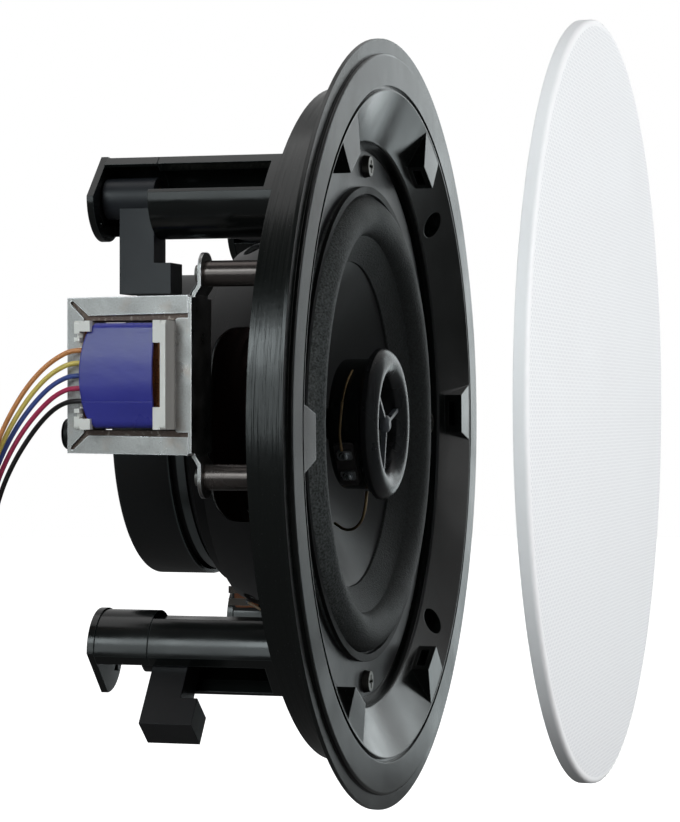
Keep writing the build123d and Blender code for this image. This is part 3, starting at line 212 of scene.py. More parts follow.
# %% [markdown]
# Finishes share one pattern: a Principled shader whose roughness wanders a little, and a
# fine bump so that highlights break up as they do on a real moulding. The helper makes that
# base, and each finish then adds what is its own. Patterns read Object coordinates, which
# here are metres in the speaker's own frame.

# %% A helper for finishes
BLOTCH = 55
GRAIN_DEPTH = 0.4 * MM


def new_finish(name, color, roughness, metallic=0.0, spread=0.06, grain=900.0, bump=0.05,
               tint=0.0, edge=0.0003, blotch=BLOTCH):
    """A Principled material with wandering roughness, a little tint and fine grain."""
    made = bpy.data.materials.new(name)
    made.use_nodes = True
    tree = made.node_tree
    shader = tree.nodes["Principled BSDF"]
    shader.inputs["Metallic"].default_value = metallic
    place = add_node(tree, "TexCoord").outputs["Object"]
    broad = add_node(tree, "TexNoise", {"Scale": blotch, "Detail": 5})
    tree.links.new(place, broad.inputs["Vector"])
    rough = map_range(tree, broad.outputs["Fac"], 0.3, 0.7,
                      max(0.03, roughness - spread), min(1.0, roughness + spread))
    tree.links.new(rough, shader.inputs["Roughness"])
    if tint:
        mix = add_node(tree, "Mix", {"A": (*[c * (1 - tint) for c in color], 1),
                                     "B": (*[min(1, c * (1 + tint)) for c in color], 1)},
                       data_type="RGBA")
        tree.links.new(broad.outputs["Fac"], mix.inputs["Factor"])
        tree.links.new(mix.outputs["Result"], shader.inputs["Base Color"])
    else:
        shader.inputs["Base Color"].default_value = (*color, 1)
    fine = add_node(tree, "TexNoise", {"Scale": grain, "Detail": 3})
    tree.links.new(place, fine.inputs["Vector"])
    raised = add_node(tree, "Bump", {"Strength": bump, "Distance": GRAIN_DEPTH})
    tree.links.new(fine.outputs["Fac"], raised.inputs["Height"])
    if edge:
        softened = add_node(tree, "Bevel", {"Radius": edge}, samples=4)
        tree.links.new(softened.outputs["Normal"], raised.inputs["Normal"])
    tree.links.new(raised.outputs["Normal"], shader.inputs["Normal"])
    return made, {"tree": tree, "shader": shader, "place": place}


def wear(finish, *names):
    """Give one finish to several CAD nodes."""
    for name in names:
        nodes[name].data.materials.clear()
        nodes[name].data.materials.append(finish)


print("finish helper ready")

# %% [markdown]
# A finish gets its character from what lies over the base: specks of dust, painted highlights on
# edges, brush strokes, and the turns of a thread or a winding. Each of these is a helper that
# takes the last colour or normal of a finish and puts one more layer on it.

# %% Helpers that add a layer to a finish
def lay_over(parts, color, share):
    """Mix another colour over the base colour, by a share from 0 to 1."""
    tree, base = parts["tree"], parts["shader"].inputs["Base Color"]
    over = add_node(tree, "Mix", {"B": (*color, 1)}, data_type="RGBA")
    tree.links.new(base.links[0].from_socket, over.inputs["A"])
    tree.links.new(share, over.inputs["Factor"])
    tree.links.new(over.outputs["Result"], base)


def speckle(parts, color, scale, low, high, share=None):
    """Small spots of another colour, everywhere or by a share."""
    tree = parts["tree"]
    spots = add_node(tree, "TexNoise", {"Scale": scale, "Detail": 6})
    tree.links.new(parts["place"], spots.inputs["Vector"])
    mask = map_range(tree, spots.outputs["Fac"], low, high)
    lay_over(parts, color, mask if share is None else times(tree, mask, share))


def painted_edge_highlight(parts, color, reach=0.0005):
    """A painted highlight on edges: where a rounded normal leaves the true one, the colour grows
    paler.
    """
    tree = parts["tree"]
    rounded = add_node(tree, "Bevel", {"Radius": reach}, samples=6)
    true_face = add_node(tree, "NewGeometry")
    same = add_node(tree, "VectorMath", operation="DOT_PRODUCT")
    tree.links.new(rounded.outputs["Normal"], same.inputs[0])
    tree.links.new(true_face.outputs["Normal"], same.inputs[1])
    lay_over(parts, color, map_range(tree, same.outputs["Value"], 0.995, 0.86))


def add_height(parts, height, strength=1.0, distance=0.0002):
    """Another bump over the ones that a finish already has."""
    tree, normal = parts["tree"], parts["shader"].inputs["Normal"]
    extra = add_node(tree, "Bump", {"Strength": strength, "Distance": distance})
    tree.links.new(height, extra.inputs["Height"])
    tree.links.new(normal.links[0].from_socket, extra.inputs["Normal"])
    tree.links.new(extra.outputs["Normal"], normal)


def stripes(parts, axis, per_mm, sharp=0.5):
    """A 0 to 1 stripe pattern across one axis, from the sine of a coordinate."""
    tree = parts["tree"]
    phase = add_node(tree, "Math", {1: per_mm * 2 * math.pi / MM}, operation="MULTIPLY")
    tree.links.new(split_axes(parts)[axis], phase.inputs[0])
    wave = add_node(tree, "Math", operation="SINE")
    tree.links.new(phase.outputs[0], wave.inputs[0])
    return map_range(tree, wave.outputs[0], -sharp, sharp)


def drawn_noise(parts, scale, detail=4):
    """A noise stretched along one or two axes, for streaks, brushing and wrinkles."""
    tree = parts["tree"]
    stretch = add_node(tree, "Mapping", {"Scale": scale})
    tree.links.new(parts["place"], stretch.inputs["Vector"])
    pulled = add_node(tree, "TexNoise", {"Scale": 1.0, "Detail": detail})
    tree.links.new(stretch.outputs["Vector"], pulled.inputs["Vector"])
    return pulled.outputs["Fac"]


print("layer helpers ready")

# %% [markdown]
# The baffle and the clamps are black ABS, polished enough to mirror the studio softly. Dust
# and handling leave faint paler specks on the broad faces, so a few are mixed in. The wall
# that enters the board keeps the fine lines of its mould, all round but nowhere else, so
# those lines fade in with the distance from the axis.

# %% Black mouldings
MARKS_START_R = 100.6 * MM
MARKS_FULL_R = 101.4 * MM
moulding, parts = new_finish("black_moulding", (0.0075, 0.0095, 0.0085), 0.21, grain=700,
                             bump=0.03, tint=0.15)
speckle(parts, (0.05, 0.05, 0.052), 1800, 0.66, 0.75)
tree = parts["tree"]
axes = split_axes(parts)
across = add_node(tree, "CombineXYZ")
tree.links.new(axes["X"], across.inputs["X"])
tree.links.new(axes["Z"], across.inputs["Z"])
on_wall = map_range(tree, length_of(tree, across.outputs["Vector"]), MARKS_START_R, MARKS_FULL_R)
add_height(parts, times(tree, drawn_noise(parts, (18, 620, 18)), on_wall), 0.7, 0.0004)
wear(moulding, "baffle", "tweeter_housing")
clamp_moulding, parts = new_finish("clamp_moulding", (0.009, 0.0105, 0.010), 0.2, grain=500,
                                   bump=0.04, tint=0.2)
# A painted highlight: the towers' and caps' edges are made paler.
painted_edge_highlight(parts, (0.07, 0.08, 0.08), 0.0004)
wear(clamp_moulding, *[f"clamp_tower_{k}" for k in range(1, 5)],
     *[f"clamp_cap_{k}" for k in range(1, 5)])
dog_plastic, _ = new_finish("dog_plastic", (0.03, 0.033, 0.04), 0.42, grain=600, bump=0.06,
                            tint=0.2)
wear(dog_plastic, "clamp_dog_1", "clamp_dog_2", "clamp_dog_4")
set_dog_plastic, _ = new_finish("set_dog_plastic", (0.016, 0.016, 0.018), 0.38, grain=600,
                                bump=0.06, tint=0.2)
wear(set_dog_plastic, "clamp_dog_3")
print("mouldings done")

# %% [markdown]
# The grille is steel sheet with thousands of punched holes. Modelling every hole would cost
# millions of faces for something that is seen as a fine texture, so a cell pattern with no
# randomness, turned by 45 degrees, darkens each hole inside the plain rim.

# %% Perforated grille
HOLE_PITCH = 1.45 * MM
HOLE_TURN = math.radians(45)
PLAIN_RIM_R = 110.6 * MM
grille_finish, parts = new_finish("perforated_white_steel", (0.92, 0.925, 0.94), 0.45,
                                  grain=1200, bump=0.03, tint=0.02)
tree = parts["tree"]
axes = split_axes(parts)
grille_low, grille_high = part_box("grille")
lowered = add_node(tree, "Math", {1: (grille_low[2] + grille_high[2]) / 2},
                   operation="SUBTRACT")
tree.links.new(axes["Z"], lowered.inputs[0])
flat = add_node(tree, "CombineXYZ")
tree.links.new(axes["X"], flat.inputs["X"])
tree.links.new(lowered.outputs[0], flat.inputs["Y"])
turned = add_node(tree, "VectorRotate", {"Angle": HOLE_TURN}, rotation_type="Z_AXIS")
tree.links.new(flat.outputs["Vector"], turned.inputs["Vector"])
cells = add_node(tree, "TexVoronoi", {"Randomness": 0, "Scale": 1 / HOLE_PITCH},
                 voronoi_dimensions="2D")
tree.links.new(turned.outputs["Vector"], cells.inputs["Vector"])
hole = map_range(tree, cells.outputs["Distance"], 0.36, 0.28)
inside = add_node(tree, "Math", {1: PLAIN_RIM_R}, operation="LESS_THAN")
tree.links.new(length_of(tree, flat.outputs["Vector"]), inside.inputs[0])
lay_over(parts, (0.66, 0.67, 0.70), times(tree, hole, inside.outputs[0]))
wear(grille_finish, "grille")
print("grille pitch", round(HOLE_PITCH / MM, 2), "mm")

# %% [markdown]
# Under the baffle's gloss the driver is quieter: painted steel for the basket and the magnet
# cover, whose edge gets a painted highlight, and a foam surround with open grain. Dust specks
# lie on the foam. They grow denser towards the side that faces the camera, which paints that
# side brighter as a painted sheen.

# %% Surround and painted steel
painted, parts = new_finish("black_painted_steel", (0.012, 0.012, 0.013), 0.33, grain=1500,
                            bump=0.08, tint=0.25)
parts["shader"].inputs["Specular IOR Level"].default_value = 0.35
wear(painted, "basket", "tweeter_post")
cover_paint, parts = new_finish("magnet_cover_paint", (0.016, 0.017, 0.018), 0.4, grain=900,
                                bump=0.12, tint=0.25)
# A painted highlight: the cover's edge is made paler.
painted_edge_highlight(parts, (0.16, 0.19, 0.19), 0.0012)
wear(cover_paint, "magnet_cover")
foam, parts = new_finish("surround_foam", (0.012, 0.014, 0.013), 0.6, grain=1700, bump=0.9,
                         tint=0.5)
# Painted light: the pale specks are real dust, but their share rises towards -X, the camera's
# side, and paints that side of the foam brighter as a sheen.
painted_side_light = map_range(parts["tree"], split_axes(parts)["X"], -20 * MM, -62 * MM, to_min=0.18)
speckle(parts, (0.13, 0.145, 0.145), 1500, 0.32, 0.70, share=painted_side_light)
wear(foam, "surround")
print("surround done")

# %% [markdown]
# The cone is treated paper with a thin skin. Behind it, the card, the cloth of the spider
# and the metal of the motor show only through the basket's windows and round its edges, but
# each still gets its own colour and grain, because the object is seen from all sides.

# %% Cone, motor and screws
card, _ = new_finish("gasket_card", (0.014, 0.014, 0.014), 0.6, grain=1500, bump=0.3, tint=0.3)
wear(card, "gasket")
paper, parts = new_finish("cone_skin", (0.010, 0.011, 0.011), 0.38, grain=1300, bump=0.08,
                          tint=0.3)
parts["shader"].inputs["Specular IOR Level"].default_value = 0.45
wear(paper, "cone")
film, _ = new_finish("former_film", (0.22, 0.09, 0.02), 0.3, tint=0.2)
wear(film, "voice_coil_former")
cloth, _ = new_finish("spider_cloth", (0.045, 0.012, 0.010), 0.75, grain=2500, bump=0.6,
                      tint=0.3)
wear(cloth, "spider")
plated, _ = new_finish("plated_steel", (0.20, 0.22, 0.225), 0.3, metallic=1.0, tint=0.15)
wear(plated, "top_plate", "back_plate_and_pole")
ferrite, _ = new_finish("ferrite_ring", (0.03, 0.03, 0.032), 0.55, grain=700, bump=0.3,
                        tint=0.3)
wear(ferrite, "magnet_ring", "tweeter_magnet")
black_steel, _ = new_finish("worn_screw_steel", (0.17, 0.165, 0.15), 0.3, metallic=0.85,
                            tint=0.5)
wear(black_steel, "driver_screws")
print("driver done")

# %% [markdown]
# The tweeter's bezel is the glossiest moulding. Its phase plug is a paler grey, and two thin
# lacquered wires and a strip of brown laminate show under it. Tin on the tags is bright
# where it is new and dull where it has been heated.

# %% Tweeter and terminal finishes
bezel, parts = new_finish("bezel_gloss", (0.016, 0.0165, 0.018), 0.27, grain=400, bump=0.02,
                          tint=0.2)
parts["shader"].inputs["Specular IOR Level"].default_value = 0.45
wear(bezel, "tweeter_bezel")
plug_grey, _ = new_finish("plug_grey", (0.17, 0.18, 0.20), 0.3, grain=500, bump=0.03, tint=0.1)
wear(plug_grey, "phase_plug")
dome_skin, _ = new_finish("dome_skin", (0.02, 0.017, 0.016), 0.22, grain=900, bump=0.05,
                          tint=0.3)
wear(dome_skin, "tweeter_dome")
laminate, _ = new_finish("brown_laminate", (0.36, 0.11, 0.03), 0.45, grain=900, bump=0.1,
                         tint=0.3)
wear(laminate, "terminal_strip")
dark_board, _ = new_finish("dark_laminate", (0.05, 0.045, 0.045), 0.4, grain=900, bump=0.1,
                           tint=0.3)
wear(dark_board, "tweeter_tag_board")
tinned, _ = new_finish("tinned_metal", (0.55, 0.56, 0.58), 0.28, metallic=0.9, tint=0.15)
wear(tinned, "tweeter_tags", "lead_tips")
dull_tin, parts = new_finish("dull_tin", (0.10, 0.085, 0.075), 0.4, metallic=0.85, grain=1200,
                             bump=0.15, tint=0.4)
# A painted highlight: the tags' edges are made paler.
painted_edge_highlight(parts, (0.35, 0.33, 0.30), 0.0003)
wear(dull_tin, "terminal_tags")
copper, _ = new_finish("lacquered_copper", (0.36, 0.25, 0.13), 0.28, metallic=0.9, tint=0.45)
wear(copper, "tweeter_leads")
braid, _ = new_finish("tinsel_braid", (0.45, 0.33, 0.22), 0.4, metallic=0.7, grain=2500,
                      bump=0.6)
wear(braid, "tinsel_leads", "voice_coil")
print("tweeter done")

# %% [markdown]
# The transformer carries the brightest surfaces. Zinc-plated sheet has a soft spangle and dull
# patches, and its edges get a painted highlight. The lamination edges are a stack of thin dark
# lines under brown varnish.

# %% Transformer metal
LAMINATIONS_PER_MM = 2.0
CLAMP_THREAD_PITCH = 1.6
zinc, parts = new_finish("zinc_plate", (0.33, 0.325, 0.32), 0.36, metallic=1.0, spread=0.12,
                         grain=500, bump=0.12, tint=0.28, edge=0.0004, blotch=130)
speckle(parts, (0.26, 0.25, 0.24), 2300, 0.40, 0.75)
speckle(parts, (0.30, 0.27, 0.25), 170, 0.55, 0.72)
# A painted highlight: the sheet's edges are made much paler.
painted_edge_highlight(parts, (0.86, 0.86, 0.87), 0.0006)
wear(zinc, "transformer_frame", "transformer_strap")
varnish, parts = new_finish("varnished_laminations", (0.11, 0.075, 0.06), 0.42, metallic=0.3,
                            grain=1600, bump=0.3, tint=0.5)
add_height(parts, stripes(parts, "X", LAMINATIONS_PER_MM), 0.6, 0.0001)
speckle(parts, (0.34, 0.29, 0.25), 900, 0.56, 0.68)
wear(varnish, "transformer_core")
post_metal, _ = new_finish("post_metal", (0.10, 0.085, 0.08), 0.25, metallic=0.75, tint=0.3)
wear(post_metal, "standoff_posts")
screw_zinc, _ = new_finish("screw_zinc", (0.5, 0.5, 0.48), 0.3, metallic=1.0, tint=0.2)
wear(screw_zinc, "post_screws")
thread_zinc, parts = new_finish("threaded_zinc", (0.42, 0.40, 0.34), 0.32, metallic=1.0,
                                tint=0.2, edge=0)
add_height(parts, stripes(parts, "Y", 1 / CLAMP_THREAD_PITCH, sharp=1.0), 1.0, 0.0004)
wear(thread_zinc, *[f"clamp_screw_{k}" for k in range(1, 5)])
brass, _ = new_finish("brass_insert", (0.60, 0.42, 0.16), 0.3, metallic=1.0, tint=0.2)
wear(brass, *[f"clamp_nut_{k}" for k in range(1, 5)])
print("transformer metal done")

# %% [markdown]
# The bobbin is white nylon, which lets a little light in. The winding shows as fine turns of
# lacquered copper, and the coil's tape is glossy blue film with shallow wrinkles along its
# wraps.

# %% Bobbin, winding and tape
WIRES_PER_MM = 2.2
nylon, parts = new_finish("white_nylon", (0.84, 0.83, 0.79), 0.42, grain=500, bump=0.05,
                          tint=0.06)
parts["shader"].inputs["Subsurface Weight"].default_value = 0.2
parts["shader"].inputs["Subsurface Radius"].default_value = (0.002, 0.002, 0.002)
wear(nylon, "transformer_bobbin")
wire_copper, parts = new_finish("winding_copper", (0.50, 0.20, 0.09), 0.3, metallic=0.9,
                                tint=0.3, edge=0)
add_height(parts, stripes(parts, "Y", WIRES_PER_MM, sharp=0.8), 1.0, 0.0003)
wear(wire_copper, "transformer_winding")
tape, parts = new_finish("blue_tape", (0.040, 0.043, 0.31), 0.3, grain=160, bump=0.1, tint=0.3,
                         edge=0.0006, blotch=40)
add_height(parts, drawn_noise(parts, (220, 60, 150), 3), 0.35, 0.0008)
wear(tape, "transformer_tape")
print("transformer done")

# %% [markdown]
# The next pieces are modelled as by hand: a primitive is added and then shaped in edit mode.
# An operator acts on all that is selected, so everything is deselected first, and vertices
# or faces are then picked in code, by their place or their normal. A finished piece has its
# origin at the frame's origin, as the CAD nodes have.

# %% Helpers for modelling
def start_on(piece):
    """Make a piece the only one selected, and the active one."""
    bpy.ops.object.select_all(action="DESELECT")
    piece.select_set(True)
    bpy.context.view_layer.objects.active = piece


def pick(piece, test):
    """Select the vertices of a piece in edit mode whose place passes a test."""
    bpy.ops.mesh.select_all(action="DESELECT")
    bpy.ops.object.mode_set(mode="OBJECT")
    for vertex in piece.data.vertices:
        vertex.select = bool(test(vertex.co))
    bpy.ops.object.mode_set(mode="EDIT")


def pick_faces(piece, test):
    """Select the faces of a piece in edit mode that pass a test."""
    bpy.ops.mesh.select_mode(type="FACE")
    bpy.ops.mesh.select_all(action="DESELECT")
    bpy.ops.object.mode_set(mode="OBJECT")
    for face in piece.data.polygons:
        face.select = bool(test(face))
    bpy.ops.object.mode_set(mode="EDIT")


def settle(piece, angle=40):
    """Put the origin of a piece at the frame's origin and shade it."""
    bpy.ops.object.mode_set(mode="OBJECT")
    start_on(piece)
    bpy.ops.object.transform_apply(location=True, rotation=True, scale=True)
    bpy.ops.object.shade_smooth_by_angle(angle=math.radians(angle))


print("modelling helpers ready")

# %% [markdown]
# The tape on the real coil is soft film pulled tight over hard corners, so its near face is
# crowned and its rear edge is an arc that laps over the bobbin's corner blocks. It starts as
# a box without ends, cut fine enough to bend, and its four long edges are rounded.

# %% The tape as a tube round the coil
NEAR = 0.01 * MM
REAR_ARC = 3.4 * MM
TAPE_CORNER = 1.7 * MM
tape_low, tape_high = (Vector(v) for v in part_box("transformer_tape"))
tape_mid = (tape_low + tape_high) / 2
rear_y = tape_high.y - REAR_ARC


def is_corner(spot):
    """Whether a place lies on one of the box's four edges that run along Y."""
    return (abs(abs(spot.x - tape_mid.x) - (tape_high.x - tape_low.x) / 2) < 1e-6
            and abs(abs(spot.z - tape_mid.z) - (tape_high.z - tape_low.z) / 2) < 1e-6)


bpy.ops.object.select_all(action="DESELECT")
bpy.ops.mesh.primitive_cube_add(
    size=1, location=(tape_mid.x, tape_mid.y - REAR_ARC / 2, tape_mid.z))
wrap = bpy.context.object
wrap.name = "tape_wrap"
wrap.scale = (tape_high.x - tape_low.x, tape_high.y - tape_low.y - REAR_ARC,
              tape_high.z - tape_low.z)
bpy.ops.object.transform_apply(location=True, rotation=True, scale=True)
bpy.ops.object.mode_set(mode="EDIT")
bpy.ops.mesh.select_mode(type="VERT")
bpy.ops.mesh.select_all(action="SELECT")
bpy.ops.mesh.subdivide(number_cuts=15)
pick_faces(wrap, lambda face: abs(face.normal.y) > 0.9)
bpy.ops.mesh.delete(type="ONLY_FACE")
bpy.ops.mesh.select_mode(type="EDGE")
bpy.ops.mesh.select_all(action="DESELECT")
bpy.ops.object.mode_set(mode="OBJECT")
for edge in wrap.data.edges:
    edge.select = all(is_corner(wrap.data.vertices[v].co) for v in edge.vertices)
bpy.ops.object.mode_set(mode="EDIT")
bpy.ops.mesh.bevel(offset=TAPE_CORNER, segments=4, affect="EDGES")
print("tape tube", len(wrap.data.polygons), "faces")

# %% [markdown]
# Soft falloff pulls a few vertices and takes their neighbours along. A round falloff makes
# the rear arc, and a smooth one the crown. A level cut marks where the last turn ends.

# %% The tape's rear arc and crown
CROWN = 2.0 * MM
ARC_REACH = 13.5 * MM
CROWN_REACH = 13.0 * MM
LAST_TURN_Z = 7.4 * MM
bpy.ops.mesh.select_mode(type="VERT")
pick(wrap, lambda co: (co.y > rear_y - NEAR and abs(co.z - tape_mid.z) < 1.2 * MM
                       and co.x < tape_mid.x))
bpy.ops.transform.translate(value=(0, REAR_ARC, 0), use_proportional_edit=True,
                            proportional_edit_falloff="SPHERE", proportional_size=ARC_REACH)
pick(wrap, lambda co: co.x < tape_low.x + NEAR and abs(co.z - tape_mid.z) < 2.5 * MM)
bpy.ops.transform.translate(value=(-CROWN, 0, 0), use_proportional_edit=True,
                            proportional_edit_falloff="SMOOTH", proportional_size=CROWN_REACH)
bpy.ops.mesh.select_all(action="SELECT")
bpy.ops.mesh.bisect(plane_co=(0, 0, LAST_TURN_Z), plane_no=(0, 0.02, 1))
bpy.ops.mesh.select_all(action="SELECT")
bpy.ops.mesh.normals_make_consistent(inside=False)
bpy.ops.object.mode_set(mode="OBJECT")
print("tape crowned by", CROWN / MM, "mm")

# %% [markdown]
# The film gets its thickness from Solidify. The last turn is a second, thinner layer, cut
# from the same surface, so it follows the crown exactly and ends in a fine step.

# %% The tape's film and last turn
FILM = 0.6 * MM
LAST_TURN_FILM = 0.22 * MM
LAST_TURN_TOP = 7.91 * MM
start_on(wrap)
bpy.ops.object.duplicate()
last_turn = bpy.context.object
last_turn.name = "tape_last_turn"
start_on(last_turn)
bpy.ops.object.mode_set(mode="EDIT")
pick(last_turn, lambda co: co.z > LAST_TURN_TOP or co.x > tape_mid.x)
bpy.ops.mesh.delete(type="VERT")
bpy.ops.object.mode_set(mode="OBJECT")
for piece, thick, side in ((wrap, FILM, -1), (last_turn, LAST_TURN_FILM, 1)):
    start_on(piece)
    shell = piece.modifiers.new("film", "SOLIDIFY")
    shell.thickness = thick
    shell.offset = side
    bpy.ops.object.modifier_apply(modifier="film")
    settle(piece)
    piece.data.materials.clear()
    piece.data.materials.append(tape)
    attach(piece, "speaker")
    print(piece.name, "faces", len(piece.data.polygons))
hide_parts("transformer_tape")

# %% [markdown]
# The rubber bumper on the frame's rear wall is a low plug with a rounded rim. It is made
# from a disc: the rim is bevelled, and the end is inset and raised a little as a soft dome.

# %% Rubber bumper
BUMPER_SHOWS = 3.6 * MM
BUMPER_RIM = 1.3 * MM
bumper_low, bumper_high = (Vector(v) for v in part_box("frame_bumper"))
bumper_r = (bumper_high.z - bumper_low.z) / 2
bpy.ops.object.select_all(action="DESELECT")
bpy.ops.mesh.primitive_cylinder_add(
    vertices=48, radius=bumper_r, depth=BUMPER_SHOWS, rotation=(math.radians(-90), 0, 0),
    location=((bumper_low.x + bumper_high.x) / 2, bumper_low.y + BUMPER_SHOWS / 2,
              (bumper_low.z + bumper_high.z) / 2))
bumper = bpy.context.object
bumper.name = "rubber_bumper"
bpy.ops.object.transform_apply(location=True, rotation=True, scale=True)
bpy.ops.object.mode_set(mode="EDIT")
pick_faces(bumper, lambda face: face.normal.y > 0.9)
bpy.ops.mesh.bevel(offset=BUMPER_RIM, segments=6, affect="EDGES")
bpy.ops.mesh.inset(thickness=0.9 * MM)
bpy.ops.transform.translate(value=(0, 0.25 * MM, 0))
bpy.ops.mesh.inset(thickness=0.7 * MM)
bpy.ops.transform.translate(value=(0, 0.1 * MM, 0))
settle(bumper, 50)
rubber, _ = new_finish("bumper_rubber", (0.012, 0.013, 0.013), 0.45, grain=900, bump=0.2,
                       tint=0.3)
bumper.data.materials.append(rubber)
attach(bumper, "speaker")
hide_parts("frame_bumper")
print("bumper shows", BUMPER_SHOWS / MM, "mm")

# %% [markdown]
# The driver's surround, its spider and the thin flexible leads cross the joint of the cone. Each
# gets a copy of its solid, and the solid itself is hidden. The two rings are cut into sectors,
# one copy for each. The copies keep the solid's own triangles and normals, so they shade as it
# does.

# %% Copies of the parts that cross the cone's joint
SECTORS = 24
FULL_TURN = 2 * math.pi
FLEXIBLE_LEADS = (
    ("tweeter_leads", (0.5, 9.5, -20.4), (12.2, 22.9, -30.8), "copper_wire"),
    ("tinsel_leads", (9.05, 50.0, -53.7), (6.2, 23.6, -37.7), "tinsel_braid"),
)


def flexible_copy(name, number=""):
    """A copy of a CAD node's mesh, with the node's own normals."""
    copy = bpy.data.objects.new(f"{name}_flex{number}", nodes[name].data.copy())
    bpy.context.collection.objects.link(copy)
    start_on(copy)
    return copy


def sector_of(face):
    """The number of the sector that a face's middle lies in."""
    turn = math.atan2(face.center.z, face.center.x) % FULL_TURN
    return int(turn / FULL_TURN * SECTORS)


def bending_ring(name):
    """A ring cut into sectors, each a copy of the solid's faces that lie in it."""
    made = []
    for k in range(SECTORS):
        copy = flexible_copy(name, f"_{k + 1}")
        for face in copy.data.polygons:
            face.select = sector_of(face) != k
        bpy.ops.object.mode_set(mode="EDIT")
        bpy.ops.mesh.select_mode(type="FACE")
        bpy.ops.mesh.delete(type="FACE")
        bpy.ops.object.mode_set(mode="OBJECT")
        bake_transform(copy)
        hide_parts(name)
        made.append(copy)
    return made


foam_sectors = bending_ring("surround")
bending_ring("spider")
for name, held, moving, slot in FLEXIBLE_LEADS:
    copy = flexible_copy(name)
    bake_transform(copy)
    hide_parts(name)
print("bending pieces:", 2 * SECTORS + len(FLEXIBLE_LEADS))

# %% [markdown]
# Each tag of the tweeter and of the terminal strip carries a bead of solder where its wire
# is joined. A bead is a drop that wets the metal, so its foot is wider than its crown: a
# ball is flattened, its foot is spread, and its top is pulled a little to one side.

# %% Solder beads
TAG_TURN = math.radians(215)
TAG_OUT, TAG_DEPTH, TAG_HALF_GAP = 21.7, 11.0, 3.7
STRIP_FORWARD, STRIP_HALF_GAP = 2.8, 1.9
solder, _ = new_finish("solder", (0.50, 0.53, 0.55), 0.22, metallic=0.95, grain=1600,
                       bump=0.25, tint=0.3, edge=0)


def solder_bead(name, place, outward, radius, tall):
    """A wetted drop of solder that stands on a face at a place."""
    bpy.ops.object.select_all(action="DESELECT")
    bpy.ops.mesh.primitive_uv_sphere_add(segments=28, ring_count=16, radius=radius)
    bead = bpy.context.object
    bead.name = name
    bpy.ops.object.mode_set(mode="EDIT")
    bpy.ops.mesh.select_mode(type="VERT")
    pick(bead, lambda co: co.z < -1e-6)
    bpy.ops.transform.resize(value=(1, 1, 0.001))
    pick(bead, lambda co: co.z < radius * 0.15)
    bpy.ops.transform.resize(value=(1.25, 1.1, 1))
    pick(bead, lambda co: True)
    bpy.ops.transform.resize(value=(1, 1, tall / radius))
    pick(bead, lambda co: co.z > tall * 0.8)
    bpy.ops.transform.translate(value=(radius * 0.25, 0, 0), use_proportional_edit=True,
                                proportional_edit_falloff="SMOOTH", proportional_size=radius)
    bpy.ops.mesh.select_all(action="SELECT")
    bpy.ops.mesh.remove_doubles(threshold=1e-6)
    bpy.ops.mesh.normals_make_consistent(inside=False)
    bpy.ops.object.mode_set(mode="OBJECT")
    bead.rotation_mode = "QUATERNION"
    bead.rotation_quaternion = Vector(outward).to_track_quat("Z", "Y")
    bead.location = place
    settle(bead, 60)
    bead.data.materials.append(solder)
    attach(bead, "speaker")


tag_out = Vector((math.cos(TAG_TURN), 0, math.sin(TAG_TURN)))
tag_along = Vector((-tag_out.z, 0, tag_out.x))
tag_face = tag_out * TAG_OUT * MM + Vector(frame_point(0, TAG_DEPTH, 0))
strip_low, strip_high = (Vector(v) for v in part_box("terminal_tags"))
strip_mid = (strip_low + strip_high) / 2
for number, side in enumerate((-1, 1), 1):
    solder_bead(f"tweeter_solder_{number}", tag_face + tag_along * TAG_HALF_GAP * MM * side,
                tag_out, 1.35 * MM, 1.1 * MM)
for number, side in enumerate((-1, 1), 1):
    strip_place = Vector((strip_low.x, strip_mid.y - STRIP_FORWARD * MM,
                          strip_mid.z + STRIP_HALF_GAP * MM * side))
    solder_bead(f"terminal_solder_{number}", strip_place, (-1, 0, 0), 0.85 * MM, 0.8 * MM)
print("solder beads on the tags at", [round(v / MM, 1) for v in tag_face])

# %% [markdown]
# The leads' insulation is soft vinyl in five plain colours, a little faded, with the faint
# unevenness that extrusion leaves.

# %% Lead insulation
LEAD_COLORS = {
    "lead_orange": (0.66, 0.27, 0.09), "lead_yellow": (0.76, 0.60, 0.14),
    "lead_blue": (0.055, 0.09, 0.32), "lead_red": (0.50, 0.04, 0.11),
    "lead_black": (0.015, 0.013, 0.014),
}
for name, color in LEAD_COLORS.items():
    insulation, _ = new_finish(f"{name}_vinyl", color, 0.3, grain=700, bump=0.05, tint=0.12,
                               edge=0)
    leads[name].data.materials.append(insulation)
print("insulation done")

# %% [markdown]
# A large pale floor lies well below the speaker, which is held up by its flange in use. The
# camera sees the floor nearly white, but the black gloss would mirror that too, so in any
# other ray the floor is dark grey and hardly glows.

# %% Floor
FLOOR_Z = -0.22
FLOOR_MIRRORED = (0.12, 0.12, 0.12, 1)
bpy.ops.object.select_all(action="DESELECT")
bpy.ops.mesh.primitive_circle_add(vertices=96, radius=4, fill_type="NGON",
                                  location=(0, 0, FLOOR_Z))
floor = bpy.context.object
floor.name = "pale_floor"
floor_paint, parts = new_finish("pale_floor_paint", (0.93, 0.93, 0.93), 0.9, grain=50,
                                bump=0.0, tint=0.01, edge=0)
tree, shader = parts["tree"], parts["shader"]
in_view = add_node(tree, "LightPath").outputs["Is Camera Ray"]
seen_color = add_node(tree, "Mix", {"A": FLOOR_MIRRORED}, data_type="RGBA")
tree.links.new(shader.inputs["Base Color"].links[0].from_socket, seen_color.inputs["B"])
tree.links.new(in_view, seen_color.inputs["Factor"])
tree.links.new(seen_color.outputs["Result"], shader.inputs["Base Color"])
shader.inputs["Emission Color"].default_value = (1, 1, 1, 1)
tree.links.new(map_range(tree, in_view, 0, 1, to_min=0.02), shader.inputs["Emission Strength"])
floor.data.materials.append(floor_paint)
print("floor at", FLOOR_Z)

